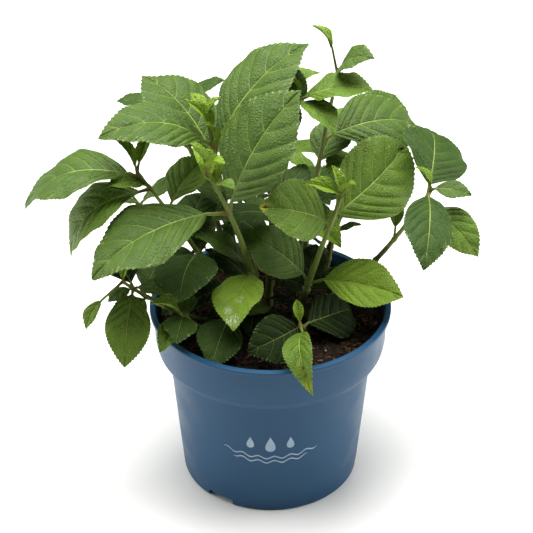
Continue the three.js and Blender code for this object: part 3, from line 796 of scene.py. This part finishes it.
# Small leaves between the big ones, by shoot: share, length, heading, rise, roll, width
SMALL_LEAVES = {
    "front_left": (
        (0.9, 40, 157, 57, 25, 0.66), (0.92, 22, 318, 12, 0, 0.72), (0.96, 20, 118, 40, 0, 0.5),
        (0.24, 54, 158, 30, 0, 0.66), (0.14, 46, 206, -6, 0, 0.66), (0.1, 42, 263, -8, 10, 0.68),
        (0.08, 36, 312, -4, 20, 0.56),
    ),
    "front_right": (
        (1, 34, 186, 22, 30, 0.5), (0.94, 20, 30, 48, 0, 0.5), (0.15, 36, 322, -14, 0, 0.66),
        (0.34, 44, 76, 30, 0, 0.64), (0.28, 48, 28, 10, 0, 0.66), (0.16, 30, 190, 22, 0, 0.56),
    ),
    "far_right": ((0.3, 40, 340, 10, 0, 0.6),),
    "top_right": ((0.5, 32, 301, 24, 0, 0.6), (0.5, 30, 49, -10, 0, 0.66)),
    "middle": (
        (0.22, 44, 334, -6, 0, 0.66), (0.3, 44, 280, 14, 0, 0.66), (0.5, 38, 139, 24, 0, 0.7),
        (0.3, 26, 10, 2, 0, 0.7), (0.94, 40, 100, 70, 0, 0.6), (0.86, 32, 76, 62, 0, 0.6),
    ),
    "top_left": (
        (0.9, 48, 198, 61, 40, 0.36), (0.86, 38, 250, 62, 30, 0.36), (0.66, 36, 250, 46, 0, 0.6),
        (0.5, 28, 268, 14, 0, 0.6), (0.6, 42, 132, 10, 0, 0.66),
    ),
    "far_left": (
        (0.93, 38, 207, 12, 20, 0.55), (0.22, 58, 205, -8, 0, 0.66), (0.34, 42, 250, 6, 0, 0.66),
    ),
    "low_left": ((1, 18, 60, 50, 0, 0.5), (0.6, 46, 66, 44, 0, 0.6)),
    "right_back": (
        (0.4, 40, 149, 68, 0, 0.66), (0.9, 58, 6, 14, 0, 0.56), (0.45, 28, 350, 26, 0, 0.5),
        (0.3, 28, 200, 50, 0, 0.66),
    ),
    "back_left": ((0.42, 42, 143, 70, 0, 0.6),),
    "back_middle": ((0.4, 34, 160, 30, 0, 0.6), (0.4, 32, 0, -14, 0, 0.66)),
    "back_low_left": ((0.4, 34, 330, 40, 0, 0.7),),
    "back_low_middle": ((0.5, 40, 350, 54, 0, 0.66),),
}
SMALL_FIRST = 100  # the number of a shoot's first small leaf
Leaf = namedtuple("Leaf", "title share length width arch node base along face side")


def ruled_leaves(rule):
    """Pairs of leaves up a shoot, each turned a right angle from the one below."""
    state = rule.seed

    def wander():
        nonlocal state
        state = (state * 1664525 + 1013904223) % 4294967296
        return 2 * state / 4294967296 - 1

    leaves = []
    for pair in range(rule.pairs):
        height = pair / (rule.pairs - 1)
        for side in range(2):
            share = rule.start + (rule.end - rule.start) * height
            shrink = 1 - RULE_SHRINK * height * height
            length = rule.length * shrink * (1 + RULE_JITTER["length"] * wander())
            heading = rule.heading + 90 * pair + 180 * side + RULE_JITTER["heading"] * wander()
            rise = RULE_RISE[0] + (RULE_RISE[1] - RULE_RISE[0]) * height + RULE_JITTER["rise"] * wander()
            leaves.append((share, length, heading, rise))
    return leaves


def pointing(heading, rise):
    turn, lift = math.radians(heading), math.radians(rise)
    return np.array([math.cos(turn) * math.cos(lift), math.sin(turn) * math.cos(lift), math.sin(lift)])


def place_leaf(title, shoot, leaf, more_rise=0, more_heading=0):
    """Where a leaf's stalk and blade lie, as the solid's rule has them."""
    share, length, heading, rise, *rest = leaf
    roll, width, stalk, arch = [*rest, *(0, LEAF_WIDTH, LEAF_STALK, LEAF_ARCH)[len(rest):]]
    heading, rise = heading + more_heading, rise + more_rise
    along = pointing(heading, rise)
    level = pointing(heading, rise + 90)
    across = np.cross(level, along)
    tilt = math.radians(roll)
    face = level * math.cos(tilt) + across * math.sin(tilt)
    node = shoot_point(shoot, min(share, 1))
    base = node + pointing(heading, min(rise + STALK_LIFT, STALK_LIMIT)) * stalk * length
    return Leaf(title, share, length, width, arch, node, base, along, face, np.cross(face, along))


def leaves_of(name, shoot):
    """The leaves of a shoot that its solid holds, each where the solid has it."""
    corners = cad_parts[f"foliage_{name}"].data.vertices
    tree = KDTree(len(corners))
    for index, corner_point in enumerate(corners):
        tree.insert(corner_point.co, index)
    tree.balance()
    found = []
    wanted = [*shoot.leaves, *(ruled_leaves(shoot.rule) if shoot.rule else ())]
    for number, leaf in enumerate(wanted):
        for change in TRIES:
            placed = place_leaf((name, number), shoot, leaf, *change)
            if tree.find((placed.base + placed.along * placed.length) * MM)[2] < MATCH:
                found.append(placed)
                break
    small = enumerate(SMALL_LEAVES.get(name, ()), SMALL_FIRST)
    return found + [place_leaf((name, number), shoot, leaf) for number, leaf in small]


def midrib(leaf, share):
    """The place of a share of the blade's length along its midrib."""
    bow = 4 * leaf.arch * leaf.length * share * (1 - share)
    return leaf.base + leaf.along * leaf.length * share + leaf.face * bow


def stalk_line(leaf):
    """A leaf's stalk from inside the stem out to the blade, then on under its midrib."""
    girth = STALK_FOOT + STALK_ROOT * leaf.length
    stalk = leaf.base - leaf.node
    line = []
    for step in range(STALK_STEPS + 1):
        share = step / STALK_STEPS
        clasp = 1 + CLASP * math.exp(-share * float(np.linalg.norm(stalk)) / CLASP_LENGTH)
        line.append((leaf.node + stalk * share, girth * clasp * (1 - 0.15 * share),
                     STALK_BLUSH * max(0.0, 1 - share / 0.7)))
    for share in (0.03, 0.08, 0.14, 0.22, 0.32):
        thin = girth * (0.85 - 1.9 * share)
        line.append((midrib(leaf, share) - leaf.face * (0.55 * thin + 0.25), thin, 0.0))
    return line


grown = {name: leaves_of(name, shoot) for name, shoot in SHOOTS.items()}
stem_lines = []
for name, shoot in SHOOTS.items():
    joints = sorted({round(min(leaf.share, 1), 2) for leaf in grown[name]})
    line = shoot_rods(shoot, mass_start(shoot), 1.0, joints)
    blush = [0.0] * (len(line) - 2) + [TIP_BLUSH] * 2
    stem_lines.append([(place, size, red) for (place, size, _), red in zip(line, blush)])
    stem_lines += [stalk_line(leaf) for leaf in grown[name]]
soft_stem = green_wood("soft green stem", (104, 126, 50), (98, 98, 48), (116, 64, 46), 0.5)
stems = settle(rod_lines("stems_and_stalks", stem_lines), rod_tree, Sides=STEM_SIDES,
               Relief=0.35 * MM, Ridges=500.0, Drawn_Out=0.2, Finish=soft_stem)
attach(stems, "root")


# ----------------------------------------
# Leaves: broad pointed blades, finely toothed, with a pale midrib and four to seven pairs of
# side veins that arch forward. The blade swells between its veins. Young ones at the tips
# are yellower, folded and puckered, and old ones below lie flatter and are painted a deep
# green, darker than the leaf itself, as painted shade for where they lie under the rest.
# ----------------------------------------
COLUMNS = (0.0, 0.06, 0.15, 0.26, 0.38, 0.5, 0.62, 0.74, 0.85, 0.94, 0.99, 1.0)
VEIN_HALF = 0.0034  # half the width of a side vein, of the leaf's length
RIB_HALF = 0.0070  # of the midrib
TOOTH_FROM = 46  # small leaves have relatively bigger teeth, in mm
TOOTH = 0.012  # depth of a tooth, of the leaf's length
TOOTH_BAND = 0.14  # of the half width, along the edge
THICK = 0.45  # of the blade, in mm
DROOP = 0.1  # of the blade's edges, of its half width, and as much again by lot
WAVE = 0.01  # of the edges, of the length, and up to WAVE_MORE by lot
WAVE_MORE = 0.013
FINE_WAVE = 0.006
SWELL = 0.017  # of the blade between its veins, of the length
SWELL_YOUNG = 0.008  # more on young leaves
SWELL_POWER = 0.65  # less for a fuller swell
SINK = 0.0026  # of a side vein in the upper face
RIB_SINK = 0.0025
RIB_RIDGE = 0.007  # how far the midrib stands out below, of the length
VEIN_RIDGE = 0.0035  # and a side vein
SWAY = 0.03  # of the midrib sideways, by lot
VEIN_ARCH = 0.38  # how far a side vein runs forward, less for more
VEIN_ENDS = (0.27, 0.93)  # where the lowest and topmost side veins meet the edge
SHOULDER = 0.92  # how the outline swells from the stalk
TIP = 0.98  # and how it closes to the tip
TISSUE_SCALE = 0.01  # leaf pattern units in a millimetre
NET_GAP = 0.115  # and from one side vein to the next
OLD_AND_SHADED_BELOW = 205  # below this height, in mm, all the leaves are old and take the darkest green as painted shade
KINDS = ("old", "deep", "mature", "fresh", "young")
PLAIN, VEIN, RIB = 0, 1, 2
VEIN_SLOTS = {"old": 5, "deep": 5, "mature": 6, "fresh": 7, "young": 7}
RIB_SLOTS = {"old": 6, "deep": 8, "mature": 8, "fresh": 9, "young": 9}
UNDER_SLOT = 10
UNDER_VEIN_SLOT = 11
# Leaves whose green stands apart from their shoot's own, many set lighter or darker than the leaf is, as
# painted light and shade for where they stand: the shoot, then their numbers on it
TONES_AND_PAINTED_LIGHT = {
    "old": (("low_left", 1), ("skirt_right", 0, 1)),
    "deep": (("far_right", 1, 2), ("middle", 104, 105), ("far_left", 3, 4), ("skirt_front", 0),
             ("skirt_left", 0), ("back_middle", 4), ("back_low_right", 1), ("back_left", 0, 1)),
    "mature": (("front_left", 1, 2, 3), ("front_right", 1), ("far_right", 4), ("top_right", 0),
               ("top_left", 0, 1, 2), ("far_left", 0, 7)),
    "fresh": (("front_right", 2, 3), ("far_right", 3), ("middle", 0, 1), ("far_left", 1, 2, 100),
              ("low_left", 0, 2), ("skirt_right", 2), ("right_back", 1), ("back_middle", 0)),
    "young": (("front_left", 0, 100), ("front_right", 0), ("top_right", 5), ("top_left", 100, 101)),
}
TONE_AND_PAINTED_LIGHT_OF = {(name, number): tone for tone, rows in TONES_AND_PAINTED_LIGHT.items()
           for name, *numbers in rows for number in numbers}
# Leaves narrower than their solids, and leaves folded along the midrib, in degrees
SLIMMER = {
    ("skirt_right", 2): 0.78, ("top_right", 0): 0.94, ("front_right", 2): 0.97,
    ("far_left", 7): 0.8, ("back_low_right", 3): 0.7, ("back_right", 0): 0.84,
    ("back_low_middle", 0): 0.84, ("back_left", 2): 0.88, ("right_back", 2): 0.9,
    ("top_right", 2): 0.74,
}
FOLDED = {("skirt_right", 2): 34, ("front_left", 0): 14, ("low_left", 2): 20}


def outline_width(share, shoulder, tip):
    """Half the width of a blade at a share of its length, 1 where it is widest."""
    widest = shoulder / (shoulder + tip)
    peak = widest ** shoulder * (1 - widest) ** tip
    return share ** shoulder * (1 - share) ** tip / peak


def vein_rows(pairs, between):
    """Rows across a blade: (station on the edge, vein offset, gaps passed, tooth)."""
    first, last = VEIN_ENDS
    veins = [first + (last - first) * (k / (pairs - 1)) ** 0.95 for k in range(pairs)]
    rows = []
    for index, (low, high) in enumerate(zip([0.0, *veins], [*veins, 1.0])):
        if index:
            rows += [(low, -1, index, 1.0), (low, 1, index, 1.0)]
        steps = 2 * between + 1 if index == 0 else between
        for k in range(steps):
            part = (k + 1) / (steps + 1)
            rows.append((low + (high - low) * part, 0, index + part, float(k % 2)))
    return rows


def leaf_kind(leaf, rng):
    """Young at a shoot's tip, old at its foot, and by lot between. Old leaves get the darkest green as
    painted shade.
    """
    share, length = leaf.share, leaf.length
    if share > 0.95 and length < 45:
        return "young"
    if share > 0.9 and length < 100:
        return rng.choice(("fresh", "fresh", "mature"))
    if share > 0.6:
        return rng.choice(("mature", "mature", "fresh"))
    if share < 0.35 or leaf.base[2] < OLD_AND_SHADED_BELOW:
        return "old"
    return rng.choice(("deep", "mature"))


def blade(leaf, kind, rng):
    """One leaf: corners, faces, flat outline, pattern along the veins, tops and vein sorts."""
    length, arch = leaf.length, leaf.arch
    youth = {"old": 0.0, "deep": 0.0, "mature": 0.15, "fresh": 0.5, "young": 1.0}[kind]
    youth = youth if length < 60 else youth * 0.4
    pairs, between = (7, 5) if length > 84 else (6, 5) if length > 58 else (5, 3) if length > 34 else (4, 3)
    edge, vein, gaps, tooth = np.array(vein_rows(pairs, between)).T[:, :, None]
    reach = np.array([[*COLUMNS[::-1], 0.0, *COLUMNS]])
    side = np.repeat([[-1.0, 0.0, 1.0]], [len(COLUMNS), 1, len(COLUMNS)], axis=1)

    s = edge ** (1 / VEIN_ARCH) + vein * VEIN_HALF * (1 - 0.75 * reach)
    s = np.clip(s, 0.00001, 0.9998)
    margin = s ** VEIN_ARCH
    bend = 0.06 + 0.42 * np.clip((margin - 0.3) / 0.35, 0, 1)
    a = s + (margin - s) * ((1 - bend) * reach + bend * reach ** 2)
    lopsided = 1 + side * rng.uniform(-0.05, 0.05)
    width = leaf.width * (1.03 - 0.12 * youth) * SLIMMER.get(leaf.title, 1.0)
    half = 0.5 * length * width * outline_width(margin, SHOULDER, TIP + 0.15 * youth) * lopsided
    rib = length * RIB_HALF * (1 - 0.8 * s)
    half = np.maximum(half, rib * 1.02)
    x = side * (rib + (half - rib) * reach)

    bite = np.clip((reach - 1 + TOOTH_BAND) / TOOTH_BAND, 0, 1)
    fade = np.clip((margin - 0.1) / 0.15, 0, 1) * np.clip((1.0 - margin) / 0.06, 0.15, 1)
    toothed = (tooth - 0.35) * bite * fade * TOOTH * (0.5 * length + TOOTH_FROM)
    x = x + side * 0.75 * toothed
    y = a * length + 0.9 * toothed

    flat = np.abs(x) / (0.5 * length * width)
    bow = 4 * arch * length * a * (1 - a)
    fold = math.tan(math.radians(FOLDED.get(leaf.title, 6 + 30 * youth))) * np.abs(x)
    droop = DROOP * (1 + rng.random()) * 0.5 * length * width * flat ** 2.4 * (1 - 0.5 * youth)
    wave_turn = rng.uniform(0, 6.28)
    wave = (WAVE + WAVE_MORE * rng.random()) * length * reach ** 2 * np.sin(
        2 * math.pi * (1.6 + rng.random()) * a + wave_turn + 1.3 * side)
    fine_wave = FINE_WAVE * length * reach ** 3 * np.sin(2 * math.pi * 5.2 * a + wave_turn * 2 + side)
    quilt = np.abs(np.sin(math.pi * gaps)) ** SWELL_POWER
    swell = (SWELL + SWELL_YOUNG * youth) * length * quilt * (4 * reach * (1 - reach)) ** 0.6
    swell = swell * np.clip(margin / 0.4, 0, 1)
    sink = -length * (RIB_SINK * (side == 0) + SINK * (vein != 0) * (1 - reach))
    curl = -(0.05 * rng.random() + 0.03 * youth) * length * np.clip((a - 0.6) / 0.4, 0, 1) ** 2
    z = bow + fold - droop + wave + fine_wave + swell + sink + curl
    sway = rng.uniform(-SWAY, SWAY) * length * np.sin(math.pi * a)
    frame_rows = np.stack([x + sway, y, z], axis=-1)

    thick = THICK * (0.7 + 0.003 * length) * (1 - reach ** 4)
    ridge = RIB_RIDGE * length * (1 - 0.75 * s) * (np.abs(x) <= rib * 1.01)
    ridge = ridge + VEIN_RIDGE * length * (vein != 0) * (1 - reach)
    under = frame_rows - np.stack([0 * x, 0 * x, thick + ridge], axis=-1)

    count_rows, count_columns = x.shape
    top_index = 1 + np.arange(count_rows * count_columns).reshape(count_rows, count_columns)
    tip_index = 1 + count_rows * count_columns
    low_index = top_index.copy()
    inner = count_columns - 2
    low_index[:, 1:-1] = tip_index + 1 + np.arange(count_rows * inner).reshape(count_rows, inner)
    tip_bow = 0.5 * (curl.min() - 0.02 * length)
    local = np.concatenate([
        [[0.0, 0.0, 0.0]], frame_rows.reshape(-1, 3), [[0.0, length, tip_bow]],
        under[:, 1:-1].reshape(-1, 3)])
    axes = np.stack([leaf.side, leaf.along, leaf.face])
    places = leaf.base + local @ axes
    run = side * reach * np.hypot(half, (margin - s) * length) * TISSUE_SCALE
    net = np.stack([run, np.broadcast_to(gaps * NET_GAP, run.shape)], axis=-1)
    along_veins = np.concatenate([
        [[0.0, 0.0]], net.reshape(-1, 2), [[0.0, (pairs + 1) * NET_GAP]], net[:, 1:-1].reshape(-1, 2)])

    faces, veins, tops = [], [], []
    middle = count_columns // 2
    pale_columns = (0, count_columns - 2) if kind in ("fresh", "young") else ()
    for upper, index in ((True, top_index), (False, low_index)):
        for column in range(count_columns - 1):
            one, other = (column, column + 1) if upper else (column + 1, column)
            plain = RIB if column in (middle - 1, middle) else VEIN if column in pale_columns else PLAIN
            side_vein = max(plain, VEIN)
            faces.append((0, int(index[0, one]), int(index[0, other])))
            veins.append(plain)
            for row in range(count_rows - 1):
                faces.append((int(index[row, one]), int(index[row + 1, one]),
                              int(index[row + 1, other]), int(index[row, other])))
                veins.append(side_vein if vein[row] == -1 else plain)
            faces.append((int(index[-1, one]), tip_index, int(index[-1, other])))
            veins.append(plain)
        tops += [upper] * (len(faces) - len(tops))
    return places, faces, local[:, :2], along_veins, tops, veins


def leaf_pieces(name, leaves):
    """One mesh of a shoot's leaves, with a pattern map and a map that keeps each leaf apart."""
    all_places, all_faces, slots, pattern, atlas = [], [], [], [], []
    cells = math.ceil(math.sqrt(2 * len(leaves)))
    for index, leaf in enumerate(leaves):
        rng = random.Random("{} {}".format(*leaf.title))
        kind = TONE_AND_PAINTED_LIGHT_OF.get(leaf.title) or leaf_kind(leaf, rng)
        places, faces, flat, along_veins, tops, veins = blade(leaf, kind, rng)
        first = len(all_places)
        all_places += list(map(tuple, places * MM))
        offset = np.array([rng.uniform(0, 40), rng.uniform(0, 40)])
        fitted = flat / (1.12 * leaf.length) + np.array([0.5, 0.04])
        upper_slots = (KINDS.index(kind), VEIN_SLOTS[kind], RIB_SLOTS[kind])
        under_slots = upper_slots if kind == "young" else (UNDER_SLOT, UNDER_VEIN_SLOT, UNDER_VEIN_SLOT)
        for face, top_side, vein_sort in zip(faces, tops, veins):
            all_faces.append(tuple(first + corner_index for corner_index in face))
            slots.append(upper_slots[vein_sort] if top_side else under_slots[vein_sort])
            cell = 2 * index + (0 if top_side else 1)
            corner_of_cell = np.array([cell % cells, cell // cells])
            for corner_index in face:
                pattern.append(along_veins[corner_index] + offset)
                atlas.append((fitted[corner_index] + corner_of_cell) / cells)
    piece = laid(f"leaves_{name}", all_places, [], all_faces)
    mesh = piece.data
    for label, values in (("leaf", pattern), ("OFBake", atlas)):
        layer = mesh.uv_layers.new(name=label)
        layer.data.foreach_set("uv", np.array(values, dtype=np.float32).ravel())
    mesh.polygons.foreach_set("material_index", slots)
    mesh.shade_smooth()
    mesh.set_sharp_from_angle(angle=math.radians(70))
    return piece


# Leaf tissue: the net of fine veins that puckers a blade, its soft mottling, and the marks
# that single leaves carry: dead brown spots, yellowed tips and chalky dried splashes.
# Each mark: its spots (x, y, z and reach in mm), how strong it is, and its colour
MARKS = {
    "Yellow": (((-9.0, -49.2, 319.0, 9.0), (29.0, -133.0, 176.0, 14.0)), 0.6, (166, 178, 44)),
    "Dead": (((28.5, -119.6, 194.6, 2.6), (30.5, -124.0, 189.0, 1.4), (-4.6, -48.8, 317.6, 2.8)),
             0.85, (104, 52, 24)),
    "Chalk": (((-34.5, -71.5, 212.5, 9.0), (-38.5, -62.0, 216.5, 6.0), (-27.5, -52.0, 222.0, 6.0)),
              0.7, (206, 214, 190)),
}
tissue_tree, given, ends = group(
    "ShaderNodeTree", "Leaf tissue", {"Cells": 15.0, "Pucker": 0.5},
    {"Net": "Float", "Mottle": "Float", "Dead": "Float", "Yellow": "Float", "Chalk": "Float",
     "Normal": "Vector"})
leaf_map = add("ShaderNodeUVMap", {}, tree=tissue_tree, uv_map="leaf")
place = object_place(tissue_tree)
warp = noise(leaf_map, 22.0, output=1)
warped = vectors("MULTIPLY_ADD", {0: warp, 1: (0.02, 0.02, 0.0), 2: leaf_map})
dome_edge, net_edge = [
    add("ShaderNodeTexVoronoi", {"Vector": where, "Scale": size}, "Distance", feature="DISTANCE_TO_EDGE")
    for where, size in ((warped, given["Cells"]), (place, 360.0))]
fleck = noise(place, 900.0)
puckered = times(fleck, 0.15)
for edge, reach, weight in ((net_edge, 0.4, 0.55), (dome_edge, 0.42, 0.35)):
    puckered = maths("ADD", times(spread(edge, 0.0, reach), weight), puckered)
relief = add("ShaderNodeBump", {"Strength": given["Pucker"], "Distance": 1.3 * MM, "Height": puckered})
# The net's mask also colours the blades along it: painted shade in the creases of the puckers.
join({"Net": spread(net_edge, 0.15, 0.0), "Normal": relief,
      "Mottle": spread(noise(place, 75.0, 5.0), 0.32, 0.68)}, ends)
for label, (spots, _, _) in MARKS.items():
    mask = 0.0
    for *spot, reach in spots:
        away = vectors("DISTANCE", {0: place, 1: [n * MM for n in spot]}, "Value")
        mask = maths("MAXIMUM", spread(away, reach * MM, 0.4 * reach * MM), mask)
    if label == "Chalk":
        mask = times(mask, spread(fleck, 0.46, 0.62))
    join({label: mask}, ends)


def leaf_green(name, green, shade_of_it, net_tint_and_crease_shade, pucker=0.7, roughness=0.5, sheen=0.22):
    """Leaf surface: a plain green, mottled towards its shade, with the fine net picked out; on the blades the
    net is darker, as painted shade in the creases of the puckers.
    """
    material, tree, shader = surface(name, roughness, Specular_IOR_Level=sheen)
    tissue = add("ShaderNodeGroup", {"Pucker": pucker}, None, tree, node_tree=tissue_tree)
    colour = tint(*green)
    layers = {"Mottle": (0.7, shade_of_it), "Net": (0.4, net_tint_and_crease_shade)}
    layers.update({label: (most, paint) for label, (_, most, paint) in MARKS.items()})
    for label, (most, paint) in layers.items():
        colour = blend(times(tissue[label], most), colour, tint(*paint))
    join({"Base Color": colour, "Normal": tissue["Normal"]}, shader)
    return material


# Greens: the plain one, its shade and its net (darker than the plain green on blades, as painted shade in the
# creases, paler on veins and undersides), then how puckered, rough and shiny the leaf is
# The old and deep greens and the deep side vein are darker than the leaves are, as painted shade for the
# lower and inner leaves; the young green is partly the young leaves' own lime and partly lightened as painted
# light shining through them.
GREENS = {
    "old leaf in painted shade": ((33, 49, 14), (27, 41, 11), (24, 38, 10), 0.5, 0.6, 0.1),
    "deep leaf in painted shade": ((56, 80, 25), (44, 68, 20), (40, 62, 18), 0.55, 0.55, 0.16),
    "mature leaf": ((76, 100, 33), (60, 86, 27), (54, 80, 24), 0.65),
    "fresh leaf": ((95, 122, 36), (80, 108, 30), (68, 96, 26), 0.7),
    "young lime leaf with painted glow": ((124, 152, 42), (108, 138, 36), (90, 122, 32), 0.8, 0.46),
    "deep side vein in painted shade": ((88, 108, 44), (78, 100, 40), (94, 114, 50), 0.1),
    "side vein": ((116, 136, 58), (106, 128, 52), (122, 142, 64), 0.1),
    "young side vein": ((136, 158, 62), (128, 150, 56), (142, 164, 68), 0.1),
    "midrib": ((142, 158, 76), (132, 150, 70), (148, 164, 82), 0.1),
    "young midrib": ((158, 176, 82), (148, 168, 76), (164, 180, 88), 0.1),
    "leaf underside": ((112, 130, 74), (100, 120, 66), (126, 142, 86), 0.4, 0.65),
    "underside vein": ((140, 152, 96), (130, 144, 88), (144, 156, 100), 0.1, 0.6),
}
leaf_finishes = [leaf_green(name, *row) for name, row in GREENS.items()]
for name, leaves in grown.items():
    foliage = leaf_pieces(name, leaves)
    for finish in leaf_finishes:
        foliage.data.materials.append(finish)
    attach(foliage, "root")
    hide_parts(f"foliage_{name}")


# ----------------------------------------
# Studio: a seamless white floor under broad soft lights, seen from the height of a standing
# person's eye through a long lens.
# ----------------------------------------
FLOOR_REACH = 4.0

corners = [(FLOOR_REACH * x, FLOOR_REACH * y, 0) for x, y in ((-1, -1), (1, -1), (1, 1), (-1, 1))]
studio_floor = laid("studio_floor", corners, [], [(0, 1, 2, 3)])
white, _, _ = surface("white floor", 0.8, Base_Color=tint(243, 242, 238))
studio_floor.data.materials.append(white)


def soft_light(name, place, aim, size, watts):
    """A square panel that shines from a place towards an aim."""
    data = bpy.data.lights.new(name, "AREA")
    data.shape = "SQUARE"
    data.size = size
    data.energy = watts
    panel = bpy.data.objects.new(name, data)
    panel.location = place
    panel.rotation_euler = (Vector(aim) - Vector(place)).to_track_quat("-Z", "Y").to_euler()
    bpy.context.scene.collection.objects.link(panel)


soft_light("overhead", (-0.1, 0.35, 2.1), (0, 0, 0.2), 2.0, 112)
soft_light("left side", (-1.7, 0.2, 0.6), (0, 0, 0.2), 1.3, 19)
soft_light("right side", (1.7, 0.2, 0.6), (0, 0, 0.2), 1.3, 23)
world = bpy.data.worlds.new("studio air")
world.use_nodes = True
world.node_tree.nodes["Background"].inputs["Color"].default_value = (1.0, 1.0, 1.0, 1.0)
world.node_tree.nodes["Background"].inputs["Strength"].default_value = 0.08
bpy.context.scene.world = world
bpy.context.scene.view_settings.view_transform = "Standard"

camera_data = bpy.data.cameras.new("camera")
camera_data.lens = 100.6
camera_data.sensor_width = 36.0
camera = bpy.data.objects.new("camera", camera_data)
camera.location = (-0.0037, -1.183, 0.970)
camera.rotation_euler = (math.radians(57.8), 0.0, 0.0)
bpy.context.scene.collection.objects.link(camera)
bpy.context.scene.camera = camera
